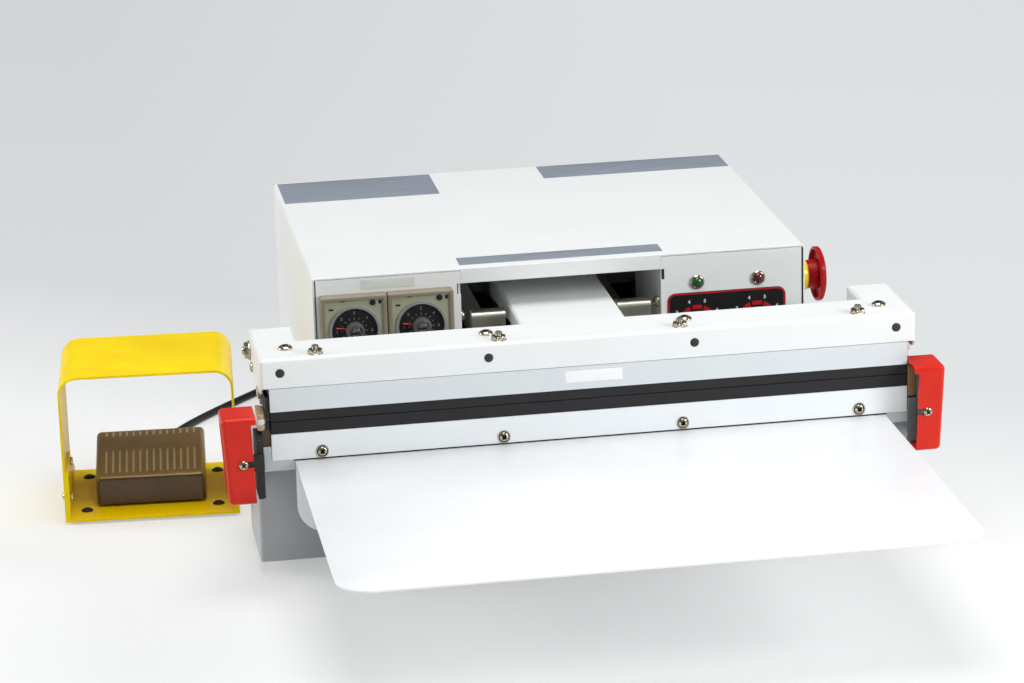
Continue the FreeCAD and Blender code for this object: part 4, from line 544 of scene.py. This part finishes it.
def coilPoints():
    # Five turns: outer, inner, inner above, outer above, outer again. Each moves over in its last fifth.
    layers = np.array([(cable["outer"], 3.1), (cable["inner"], 3.1), (cable["inner"], 9.1),
                       (cable["outer"], 9.1), (cable["outer"], 15.1), (cable["outer"], 15.1)])
    count = int(round(cable["turn"] / 360 * cable["perTurn"]))
    done = np.linspace(0, cable["turn"], count + 1)
    whole = np.minimum((done // 360).astype(int), 4)
    share = np.clip((done / 360 - whole - 0.8) / 0.2, 0, 1)[:, None]
    level = layers[whole] * (1 - share) + layers[whole + 1] * share
    angle = np.radians(cable["entry"] - done)
    radius = level[:, 0] / (0.5 + 0.5 * math.cos(math.pi / cable["perTurn"]))
    return np.stack([cable["coil"][0] + radius * np.cos(angle), cable["coil"][1] + radius * np.sin(angle),
                     level[:, 1]], -1)


def makeCable():
    route = metres(np.concatenate([fromSwitch, coilPoints(), toGland]))
    data = bpy.data.curves.new("footCable", "CURVE")
    data.dimensions = "3D"
    spline = data.splines.new("NURBS")
    spline.points.add(len(route) - 1)
    spline.points.foreach_set("co", np.concatenate([route, np.ones((len(route), 1))], 1).ravel())
    spline.order_u = 3
    spline.use_endpoint_u = True
    spline.resolution_u = 6
    data.bevel_depth = cable["diameter"] / 2000
    data.bevel_resolution = 5
    data.use_fill_caps = True
    data.materials.append(finishes["cable_black"])
    piece = bpy.data.objects.new("footCable", data)
    bpy.context.scene.collection.objects.link(piece)
    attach(piece, "machine")
    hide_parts("foot_cable", "cable_coil")


makeCable()
print("cable laid")


# Fasteners with cross recesses, nuts and threaded ends

def domeHead(place, axis, radius, height, slot=0.16):
    # Height over radius r: a dome that falls to the rim, less a cross recess that is deepest in the middle.
    steps = np.concatenate([np.linspace(0, 0.62, 16), np.linspace(0.68, 0.99, 7)])
    profile = [(radius * s, height * math.sqrt(1 - (0.93 * s) ** 2)) for s in steps]
    profile += [(radius, height * 0.28), (radius * 0.985, 0.0), (0.0, 0.0)]

    def recess(a, r, h):
        x, y = np.abs(r * np.cos(a)), np.abs(r * np.sin(a))
        arm = np.clip((radius * slot - np.minimum(x, y)) / (radius * 0.05), 0, 1)
        reach = np.clip((radius * 0.58 - r) / (radius * 0.1), 0, 1)
        return r, h - arm * reach * height * 0.62 * (1 - r / radius * 0.6) * (h > height * 0.3)

    surface, closedRows, closedColumns = turned(profile, 64, place, axis, recess)
    # Faces in the recess are marked for the second material, a painted shade.
    r = np.array([(a[0] + b[0]) / 2 for a, b in zip(profile[:-1], profile[1:])])[:, None]
    a = (np.arange(64) + 0.5) * np.pi / 32
    narrow = np.minimum(np.abs(r * np.cos(a)), np.abs(r * np.sin(a))) < radius * slot
    sunk = narrow & (r < radius * 0.56) & (np.arange(len(r))[:, None] < 22)
    return surface, closedRows, closedColumns, sunk.ravel()


def hexNut(place, axis, radius, height):
    # A hexagon's distance from its middle is the flat's distance over the cosine of the angle off the flat.
    flat = radius * math.cos(math.pi / 6)

    def hexagon(a, r, h):
        off = (a + np.pi / 6) % (np.pi / 3) - np.pi / 6
        return np.minimum(r, flat / np.cos(off)), h

    profile = [(0, 0), (radius * 0.97, 0), (radius * 1.02, height * 0.1), (radius * 1.02, height * 0.84),
               (flat * 0.99, height), (radius * 0.5, height), (0, height * 0.98)]
    return turned(profile, 48, place, axis, hexagon)


def threadedEnd(place, axis, radius, height, pitch=0.8):
    # Radius over height and angle: a triangle wave that climbs one pitch a turn, faded at the end.
    heights = np.linspace(0, height, max(int(height / pitch * 8), 16))
    profile = [(radius, h) for h in heights] + [(radius * 0.6, height), (0, height)]

    def thread(a, r, h):
        wave = np.abs((h / pitch - a / (2 * np.pi)) % 1 * 2 - 1)
        return np.where(h < height - 0.3, r - wave * 0.35 * (r > radius * 0.9), r * 0.85), h

    return turned(profile, 28, place, axis, thread)


fasteners = {
    "studs": [(s * x, 8.5, 162.5) for x in (63.5, 190.0) for s in (1, -1)],
    "coverScrews": [(s * x, 23.0, 162.5) for x in (70.0, 209.0) for s in (1, -1)],
    "beamScrews": [(x, 185.5, 152.5) for x in (-29.0, 29.0)],
    "barScrews": [(s * x, 0.0, 94.8) for x in (63.0, 189.0) for s in (1, -1)],
    "trayScrews": [(s * x, -1.5, 85.2) for x in (60.0, 165.0) for s in (1, -1)],
    "guardScrews": [(-244.6, -18.0, 95.0), (233.6, -18.0, 95.0)],
    "pivot": (73.5, 148.0),
}


def makeFasteners():
    up, front = (0, 0, 1), (0, -1, 0)
    jaw = []
    for spot in fasteners["studs"]:
        jaw.append(turned([(0, 0), (5.4, 0), (5.4, 0.3), (5.2, 0.5), (0, 0.5)], 32, spot, up))
        jaw.append(hexNut(np.add(spot, (0, 0, 0.5)), up, 5.5, 2.5))
        top = np.add(spot, (0, 0, 3.0))
        # A thin dark disc on the nut round the thread: painted shade.
        jaw.append((*turned([(0, 0), (3.3, 0), (3.3, 0.12), (0, 0.12)], 28, top, up), 1))
        jaw.append(threadedEnd(top, up, 2.6, 2.8))
    for spot in fasteners["coverScrews"]:
        jaw.append(domeHead(spot, up, 5.0, 3.2))
    for spot in fasteners["beamScrews"]:
        jaw.append(domeHead(spot, up, 4.0, 2.2))
    for side in (-1, 1):
        jaw.append(domeHead((side * 229.4, 58.0, 140.5), (side, 0, 0), 3.6, 2.0))
    nickelAndRecessShade = [finishes["nickel"], extras["recessShade"]]
    piece = makePiece("jawFastenerSet", jaw, nickelAndRecessShade, "jaw", 40)
    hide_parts("jaw_fasteners")
    fixed = []
    for spot in fasteners["barScrews"]:
        fixed.append(turned([(0, 0), (4.6, 0), (4.6, 0.4), (4.3, 0.5), (0, 0.5)], 32, spot, front))
        # A dark disc under each bar screw's head shows as a ring: a painted hole shadow.
        fixed.append((*turned([(0, 0), (3.9, 0), (3.9, 0.56), (0, 0.56)], 28, spot, front), 1))
        fixed.append(domeHead(spot, front, 3.3, 2.0, 0.22))
    for spot in fasteners["trayScrews"]:
        fixed.append(domeHead(spot, front, 2.4, 1.8))
    for spot in fasteners["guardScrews"]:
        fixed.append(domeHead(spot, front, 3.2, 2.2))
    for side in (-1, 1):
        fixed.append(domeHead((side * 73.0, 127.0, 146.0), (-side, 0, 0), 4.2, 4.4))
    piece = makePiece("frameFastenerSet", fixed, nickelAndRecessShade, "machine", 40)
    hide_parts("frame_screws")
    bolts = []
    for side in (-1, 1):
        out = (side, 0, 0)
        for start, profile in ((201.8, [(0, 0), (5.0, 0), (5.0, 27.8), (0, 27.8)]),
                               (211.3, [(5.0, 0), (8.0, 0), (8.0, 4.4), (5.0, 4.4)]),
                               (229.8, [(0, 0), (6.9, 0), (6.9, 0.5), (6.6, 0.8), (0, 0.8)])):
            bolts.append(turned(profile, 40, (side * start, *fasteners["pivot"]), out))
        bolts.append(hexNut((side * 201.9, *fasteners["pivot"]), out, 8.5, 4.0))
        bolts.append(hexNut((side * 230.6, *fasteners["pivot"]), out, 5.8, 2.9))
        bolts.append(threadedEnd((side * 233.5, *fasteners["pivot"]), out, 3.0, 1.4))
    piece = makePiece("pivotBoltSet", bolts, nickelAndRecessShade, "machine", 40)
    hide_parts("pivot_bolts")


makeFasteners()
print("fasteners made")


# Dials: numbers, ticks, the control plate's rings and border

right, up = (1, 0, 0), (0, 0, 1)
controls = {"dials": (99.3, 143.8), "height": 129.3, "face": 118.4, "plate": (77.7, 165.1, 104.0, 153.0),
            "step": 38.6, "digitRadius": 17.6, "digitSize": 3.6, "ring": (11.2, 14.2)}


def makeNumbers(name, items, size, depth, material):
    # Each item is a number's text, its middle and its face height; text becomes a mesh before it is placed.
    joined = []
    for text, (x, y, z) in items:
        data = bpy.data.curves.new(name, "FONT")
        data.body, data.size, data.extrude = text, size / 1000, depth / 2000
        data.align_x, data.align_y = "CENTER", "CENTER"
        data.offset = size * 0.00003
        data.resolution_u = 3
        loose = bpy.data.objects.new(name, data)
        mesh = bpy.data.meshes.new_from_object(loose)
        bpy.data.objects.remove(loose)
        mesh.transform(Matrix.Translation(metres((x, y, z))) @ Matrix.Rotation(math.pi / 2, 4, "X"))
        joined.append(mesh)
    points = np.concatenate([np.array([v.co for v in m.vertices]) for m in joined])
    faces, start = [], 0
    for mesh in joined:
        faces += [[v + start for v in polygon.vertices] for polygon in mesh.polygons]
        start += len(mesh.vertices)
    whole = bpy.data.meshes.new(name)
    whole.from_pydata(points, [], faces)
    tidyMesh(whole)
    whole.materials.append(material)
    piece = bpy.data.objects.new(name, whole)
    bpy.context.scene.collection.objects.link(piece)
    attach(piece, "machine")


def makeDials():
    numbers, rings = [], []
    for x in controls["dials"]:
        middle = np.array([x, controls["face"], controls["height"]])
        for n in range(1, 9):
            a = math.radians((n - 4.5) * controls["step"])
            reach = controls["digitRadius"]
            numbers.append((str(n), middle + reach * np.array([math.sin(a), 0, math.cos(a)]) - (0, 0.03, 0)))
            if n < 8:
                low = (n - 4.5) * controls["step"]
                rings += ringPart(middle, right, up, controls["ring"],
                                  (low + 3.5, low + controls["step"] - 3.5), 0.08)
    low, high, bottom, top = controls["plate"]
    rings.append(lineAround(((low + high) / 2, controls["face"], (bottom + top) / 2), right, up,
                            (high - low - 0.6, top - bottom - 0.6), 5.7, 1.1, 0.08))
    makePiece("controlRings", rings, extras["printRed"], "machine")
    makeNumbers("controlNumbers", numbers, controls["digitSize"], 0.06, extras["printWhite"])

    digits, ticks, faceMarks = [], [], []
    for x in timers["middles"]:
        middle = np.array([x, timers["floor"], timers["dialHeight"]])
        for n in range(0, 7):
            a = math.radians(-140 + n * 280 / 6)
            digits.append((str(n), middle + 12.6 * np.array([math.sin(a), 0, math.cos(a)]) - (0, 0.04, 0)))
            for half in (0, 1) if n < 6 else (0,):
                at = -140 + (n + half / 2) * 280 / 6
                radii = (8.2 if half else 7.7, 9.6)
                ticks += ringPart(middle, right, up, radii, (at - 1.6, at + 1.6), 0.06, 3)
        face = timers["front"] + 1.2
        for place, size in (((x - 8, face, 167.2), (3.4, 1.4)), ((x - 16.5, face, 161.2), (3.4, 1.4)),
                            ((x + 18.6, face, 165.0), (2.2, 2.8))):
            faceMarks.append(filmOn(place, right, up, size, 0.4, 0.12))
        button = [(0, 0), (2.2, 0), (2.2, 0.5), (1.6, 0.8), (0, 0.8)]
        faceMarks.append(turned(button, 28, (x + 13.6, face, 165.0), (0, -1, 0)))
    makeNumbers("timerNumbers", digits, 3.0, 0.06, extras["printGrey"])
    makePiece("timerTicks", ticks, extras["printGrey"], "machine")
    makePiece("timerFaceParts", faceMarks, extras["dialBlack"], "machine")


makeDials()
print("dials made")


# Timer knobs, emergency stop, seams, end blocks, brackets, tray, guards and terminals

def makeTimerKnobs():
    profile = [(0, -5.0), (2.0, -5.0), (2.0, 0), (7.0, 0), (7.0, 5.2), (6.5, 6.1), (5.4, 6.5), (4.7, 5.9),
               (3.3, 5.9), (2.9, 6.8), (1.5, 7.0), (0, 7.0)]
    tilt = math.radians(10)
    across, upward = (math.cos(tilt), 0, -math.sin(tilt)), (math.sin(tilt), 0, math.cos(tilt))
    for index, x in enumerate(timers["middles"]):
        base = np.array([x, timers["floor"] - 0.3, timers["dialHeight"]])
        # Flutes: the radius falls by a share of the sine of twelve times the angle, on the skirt alone.
        knob = turned(profile, 96, base, (0, -1, 0),
                      lambda a, r, h: (r - (r > 6.4) * 0.3 * np.abs(np.sin(12 * a)), h))
        metal = np.repeat(np.array([r < 3.2 for r, h in profile[1:]]), 96) * 1
        pointerMiddle = base + 10.1 * np.array([-across[0], 0, -across[2]])
        pointer = filmOn(pointerMiddle, across, upward, (7.2, 1.2), 0.3, 0.8)
        piece = makePiece("timerKnob%d" % (index + 1), [(*knob, metal), (*pointer, 2)],
                          [finishes["timer_clear"], extras["knobCentre"], extras["pointerRed"]],
                          "timer_dial_%d" % (index + 1))
        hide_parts("timer_knob_%d" % (index + 1))


stop = {"middle": (161.0, 148.0), "head": 197.2, "radius": 20.2, "segments": 288, "collar": (11.0, 11.8)}


def makeStop():
    bore, rim = stop["collar"]
    wall = (179.5, *stop["middle"])
    collar = turned([(6.3, 0), (rim, 0), (rim, 9.6), (rim - 0.5, 10.6), (bore, 11.0), (bore, 1.4), (6.3, 1.4),
                     (6.3, 0)], 64, wall, right)
    piece = makePiece("stopCollar", [collar], finishes["stop_yellow"], "machine")
    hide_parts("stop_collar")
    spot = (166.3, *stop["middle"])
    neck = turned([(0, 0), (5.7, 0), (5.7, 20.0), (10.6, 20.0), (10.6, 29.2), (10.9, 30.9), (6.0, 30.9),
                   (6.0, 35.6), (0, 35.6)], 64, spot, right)
    piece = makePiece("stopNeck", [neck], finishes["stop_red"], "stop_ram")
    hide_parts("stop_plunger")
    outer = stop["radius"]
    profile = [(6.3, 0), (10.6, 0), (10.9, 3.2), (17.5, 3.2), (18.1, 0.4), (18.7, 0), (outer - 0.5, 0.1),
               (outer, 0.6), (outer, 3.2), (outer - 0.5, 4.0), (17.0, 5.2), (11.0, 6.2), (4.0, 6.6), (0, 6.6),
               (0, 4.8), (6.3, 4.8), (6.3, 0)]

    def grips(a, r, h):  # six groups of three shallow grooves cut into the rim
        group = (np.degrees(a) + 30) % 60 - 30
        cut = np.exp(-((np.abs(np.abs(group) - 2.6) - 2.6) / 1.1) ** 2)
        return r - cut * 0.6 * (r > outer - 0.6), h

    head = turned(profile, stop["segments"], (stop["head"], *stop["middle"]), right, grips)
    piece = makePiece("stopHead", [head], finishes["stop_red"], "stop_mushroom")
    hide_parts("stop_head")


def makeSmallParts():
    side = (0, 1, 0)
    # Painted shade: black strips stand for the shade in the gaps at the casing's front edges and between the
    # tray and the lower bar.
    seams = [filmOn((177.8, 119.0, 143.6), right, up, (1.3, 75.0), 0.5, 0.12),
             filmOn((-177.4, 119.0, 143.6), right, up, (0.5, 75.0), 0.2, 0.12)]
    seams.append(filmOn((0.0, 0.0, 89.8), right, up, (418.0, 0.9), 0.3, 0.1))
    makePiece("seamShadeStrips", seams, extras["paintedShadeBlack"], "machine")
    blocks = [(*filmOn((-230.0, 22.0, 133.3), side, up, (13.0, 5.6), 0.8, 6.4), 0),
              (*filmOn((-229.0, 22.0, 128.4), side, up, (13.0, 4.4), 0.6, 5.0), 1),
              (*filmOn((223.6, 22.0, 133.3), side, up, (13.0, 5.6), 0.8, 6.4), 1),
              (*filmOn((223.6, 22.0, 128.4), side, up, (13.0, 4.4), 0.6, 5.0), 1)]
    # The plate at the left end takes the dark copy, a painted shade.
    blocks.append((*filmOn((-226.6, 14.0, 127.0), side, up, (26.0, 17.6), 0.3, 2.9), 2))
    blockColors = [finishes["insulator_tan"], extras["insulatorWhite"], extras["bracketShade"]]
    piece = makePiece("endBlocks", blocks, blockColors, "jaw")
    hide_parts("end_insulators")
    left = [filmOn((-234.8, 0.3, 89.2), side, up, (27.4, 42.4), 0.4, 4.6),
            filmOn((-240.3, -13.4, 95.0), right, up, (20.6, 12.0), 0.5, 3.0)]
    # The left bracket's plates take the dark copy, a painted shade; the right ones stay grey.
    brackets = [(*part, 1) for part in left]
    brackets += [filmOn((230.0, 9.3, 102.3), side, up, (45.4, 38.4), 0.5, 3.0),
                 filmOn((230.0, 2.8, 75.6), side, up, (32.4, 15.4), 0.5, 3.0),
                 filmOn((234.8, -13.4, 95.0), right, up, (9.6, 12.0), 0.5, 3.0),
                 filmOn((226.9, 0.0, 84.2), right, up, (6.2, 32.6), 0.3, 3.0),
                 filmOn((226.9, 32.0, 95.4), right, up, (6.2, 10.2), 0.3, 32.0)]
    bracketColors = [finishes["bracket_grey"], extras["bracketShade"]]
    piece = makePiece("bracketPair", brackets, bracketColors, "machine")
    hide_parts("guard_brackets")


tray = {"half": 208.0, "reach": 257.0, "top": 89.2, "sheet": 1.5, "corner": 22.0, "drop": 52.0,
        "dropCorner": 20.0, "section": ((0.0, 1.0), (0.4, 1.0), (0.8, 1.0), (0.998, 1.0), (1.0, 0.75),
                                        (1.0, 0.25), (0.998, 0.0), (0.0, 0.0))}


def trayPlate(place, across, up, reach, corner):
    # A plate with a straight near side and two round far corners. Its outline is drawn at each share of
    # the way from the middle and at each share of the sheet's thickness that the section names.
    half = tray["half"]
    arc = np.linspace(0, np.pi / 2, 14)
    far = np.stack([half - corner + corner * np.sin(arc), reach - corner + corner * np.cos(arc)], -1)
    outline = np.concatenate([far, [[half, 0], [-half, 0]], far[::-1] * (-1, 1)])
    middle = np.array([0, reach / 2])
    across, up = np.array(across, float), np.array(up, float)
    normal = np.cross(across, up)
    rows = []
    for share, lift in tray["section"]:
        flat = middle + (outline - middle) * share
        rows.append(np.array(place) + flat[:, :1] * across + flat[:, 1:] * up + lift * tray["sheet"] * normal)
    return np.stack(rows), False, True


def makeTray():
    low = tray["top"] - tray["sheet"]
    shelf = trayPlate((0, 0, low + tray["sheet"]), (1, 0, 0), (0, -1, 0), tray["reach"], tray["corner"])
    drop = trayPlate((0, -tray["sheet"], low), (-1, 0, 0), (0, 0, -1), tray["drop"] - tray["sheet"],
                     tray["dropCorner"])
    piece = makePiece("bagTraySheet", [shelf, drop], finishes["tray_white"], "machine", 60)
    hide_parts("bag_tray")


guards = {"front": -18.0, "back": 9.0, "low": 66.0, "high": 128.0, "wall": 0.0016, "round": 0.0034,
          "taper": 3.2, "step": (123.0, 3.4), "slot": (95.0, 2.3, 9.6),
          "sides": ((-1, 235.0, 258.5), (1, 224.0, 246.5))}


def makeGuards():
    # Front outline with its slot, and three walls behind it. Modifiers round the edges and thicken the walls.
    points, faces, start = [], [], 0
    low, high, front, back = guards["low"], guards["high"], guards["front"], guards["back"]
    stepHeight, step = guards["step"]
    slotHeight, half, reach = guards["slot"]
    for side, inner, outer in guards["sides"]:
        edge = lambda z: inner + step / 2 + step / 2 * (z - low) / (stepHeight - low)
        a = np.radians(np.linspace(90, -90, 7))
        arc = np.stack([inner + reach + half * np.cos(a), slotHeight + half * np.sin(a)], -1)
        above, below = slotHeight + half, slotHeight - half
        outline = np.concatenate([
            [[outer, high], [inner, high], [inner, stepHeight], [inner + step, stepHeight],
             [edge(above), above]], arc,
            [[edge(below), below], [inner + step / 2, low], [outer - guards["taper"], low]]])
        count = len(outline)
        shape = np.insert(np.concatenate([outline, outline[[0, 1, -2, -1]]]), 1, front, 1)
        shape[count:, 1] = back
        points.append(shape * (side, 1, 1))
        first, second, third, fourth = (start + count + k for k in range(4))
        last = start + count - 1
        faces += [list(range(start, start + count)), [start + 1, start, first, second],
                  [start, last, fourth, first], [last, last - 1, third, fourth]]
        start += count + 4
    mesh = bpy.data.meshes.new("guardShells")
    mesh.from_pydata(metres(np.concatenate(points)), [], faces)
    tidyMesh(mesh)
    mesh.shade_smooth()
    mesh.materials.append(finishes["guard_red"])
    piece = bpy.data.objects.new("guardShells", mesh)
    bpy.context.scene.collection.objects.link(piece)
    rounding = piece.modifiers.new("rounding", "BEVEL")
    rounding.width, rounding.segments, rounding.limit_method = guards["round"], 6, "ANGLE"
    rounding.angle_limit = math.radians(30)
    wall = piece.modifiers.new("wall", "SOLIDIFY")
    wall.thickness, wall.offset, wall.use_even_offset = guards["wall"], -1, True
    piece.modifiers.new("corners", "EDGE_SPLIT").split_angle = math.radians(40)
    piece.modifiers.new("shading", "WEIGHTED_NORMAL").keep_sharp = True
    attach(piece, "machine")
    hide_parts("end_guards")


def makeTerminals():
    side = (0, 1, 0)
    blocks = [(*filmOn((224.1, 12.6, 112.5), side, up, (24.0, 23.0), 0.5, 5.5), 0),
              # The left block's lower part takes the dark copy, a painted shade.
              (*filmOn((-229.8, 12.6, 106.5), side, up, (24.0, 11.6), 0.5, 6.0), 1),
              (*filmOn((-232.3, 12.6, 114.3), side, up, (24.0, 4.0), 0.4, 5.6), 2),
              (*filmOn((-232.3, 12.6, 118.3), side, up, (24.0, 4.0), 0.4, 5.6), 3),
              (*filmOn((-232.0, 12.6, 121.9), side, up, (24.0, 3.2), 0.4, 5.0), 2),
              # The plate behind, at the left, takes the dark copy, a painted shade.
              (*filmOn((-226.6, 12.6, 113.6), side, up, (23.0, 8.4), 0.3, 2.9), 4)]
    piece = makePiece("terminalBlocks", blocks, [finishes["terminal_tan"], extras["terminalShade"],
                                                 extras["terminalPale"], extras["insulatorWhite"],
                                                 extras["bracketShade"]], "machine")
    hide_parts("element_terminals")


makeTimerKnobs()
makeStop()
makeSmallParts()
makeTray()
makeGuards()
makeTerminals()
print("knobs, stop, brackets, tray, guards and terminals made")


# Blank labels

labels = {
    "blue": [((-116.6, 364.0, 183.0), right, (0, 1, 0), (120.0, 62.0)),
             ((103.3, 377.0, 183.0), right, (0, 1, 0), (148.0, 38.0)),
             ((2.2, 138.0, 183.0), right, (0, 1, 0), (148.5, 19.5))],
    "white": [((-125.5, 119.0, 176.2), right, up, (39.0, 7.6)),
              ((1.0, 0.0, 134.3), right, up, (40.0, 8.4))],
}


def makeLabels():
    panel = [filmOn(*spot, 0.8, 0.15) for spot in labels["blue"]]
    makePiece("casingLabels", panel, extras["labelBlue"], "machine")
    faint, white = (filmOn(*spot, 0.4, 0.15) for spot in labels["white"])
    makePiece("panelLabel", [faint], extras["labelFaint"], "machine")
    makePiece("jawLabel", [white], extras["labelWhite"], "jaw")


makeLabels()
print("labels placed")


# Floor and light

studio = {"size": 9.0, "slope": 0.74, "near": 0.16, "far": 0.56, "front": (245, 246, 246),
          "back": (217, 218, 220), "right": (226, 229, 230), "glow": (0.45, 0.88), "world": 0.2,
          "lamps": [("over", (0.0, -0.15, 2.1), (0.0, 0.05, 0.0), 1.3, 26.5),
                    ("key", (1.35, -0.95, 0.8), (0.15, 0.0, 0.12), 0.5, 16.5),
                    ("side", (-1.7, 0.5, 0.7), (-0.1, 0.2, 0.1), 0.9, 13.0),
                    ("fill", (0.0, -1.5, 2.0), (0.0, -0.1, 0.0), 1.0, 5.0)]}


def makeFloor():
    # A flat sheet; white in front, grey behind a slanted soft line, greyer to the left.
    size = studio["size"]
    u, v = np.meshgrid(np.linspace(-size, size, 3), np.linspace(-size, size, 3), indexing="ij")
    corners = np.stack([u, v, 0 * u], -1).reshape(-1, 3)
    mesh = bpy.data.meshes.new("floor")
    mesh.from_pydata(corners, [], gridFaces(3, 3, False, False)[:, ::-1].tolist())
    floor = bpy.data.objects.new("floor", mesh)
    bpy.context.scene.collection.objects.link(floor)
    f = Finish("floorPaper")
    axes = f.add("ShaderNodeSeparateXYZ", {}, {"Vector": f.place})
    depth = axes["Y"] + axes["X"] * studio["slope"] - float(zero[1] + zero[0] * studio["slope"])
    middle, soft = (studio["near"] + studio["far"]) / 2, studio["far"] - studio["near"]
    back = f.blendColors(axes["X"].above(0.1, 0.6), linear(*studio["back"]), linear(*studio["right"]))
    tone = f.blendColors(depth.above(middle, soft), linear(*studio["front"]), back)
    f.set(color=tone, rough=0.9, specular=0.1)
    glow = f.add("ShaderNodeEmission", {}, {"Color": tone, "Strength": 1.0})["Emission"]
    ray = f.add("ShaderNodeLightPath", {}, {})
    share = depth.above(middle, soft) * (studio["glow"][1] - studio["glow"][0]) + studio["glow"][0]
    seen = (ray["Is Camera Ray"] + ray["Is Glossy Ray"] + ray["Is Transmission Ray"]) * share
    mixed = f.add("ShaderNodeMixShader", {}, {0: seen, 1: Signal(f, f.shader.outputs["BSDF"]), 2: glow})
    f.feed(f.nodes["Material Output"].inputs["Surface"], mixed["Shader"])
    mesh.materials.append(f.material)


def makeLight():
    world = bpy.data.worlds.new("studio")
    bpy.context.scene.world = world
    world.use_nodes = True
    world.node_tree.nodes["Background"].inputs["Color"].default_value = (0.95, 0.97, 1.0, 1.0)
    world.node_tree.nodes["Background"].inputs["Strength"].default_value = studio["world"]
    for name, place, target, width, power in studio["lamps"]:
        data = bpy.data.lights.new(name, "AREA")
        data.shape, data.size, data.energy = "SQUARE", width, power
        lamp = bpy.data.objects.new(name, data)
        bpy.context.scene.collection.objects.link(lamp)
        lamp.location = place
        lamp.rotation_euler = (Vector(target) - Vector(place)).to_track_quat("-Z", "Y").to_euler()
    bpy.context.scene.view_settings.view_transform = "Standard"


makeFloor()
makeLight()
print("studio lit")
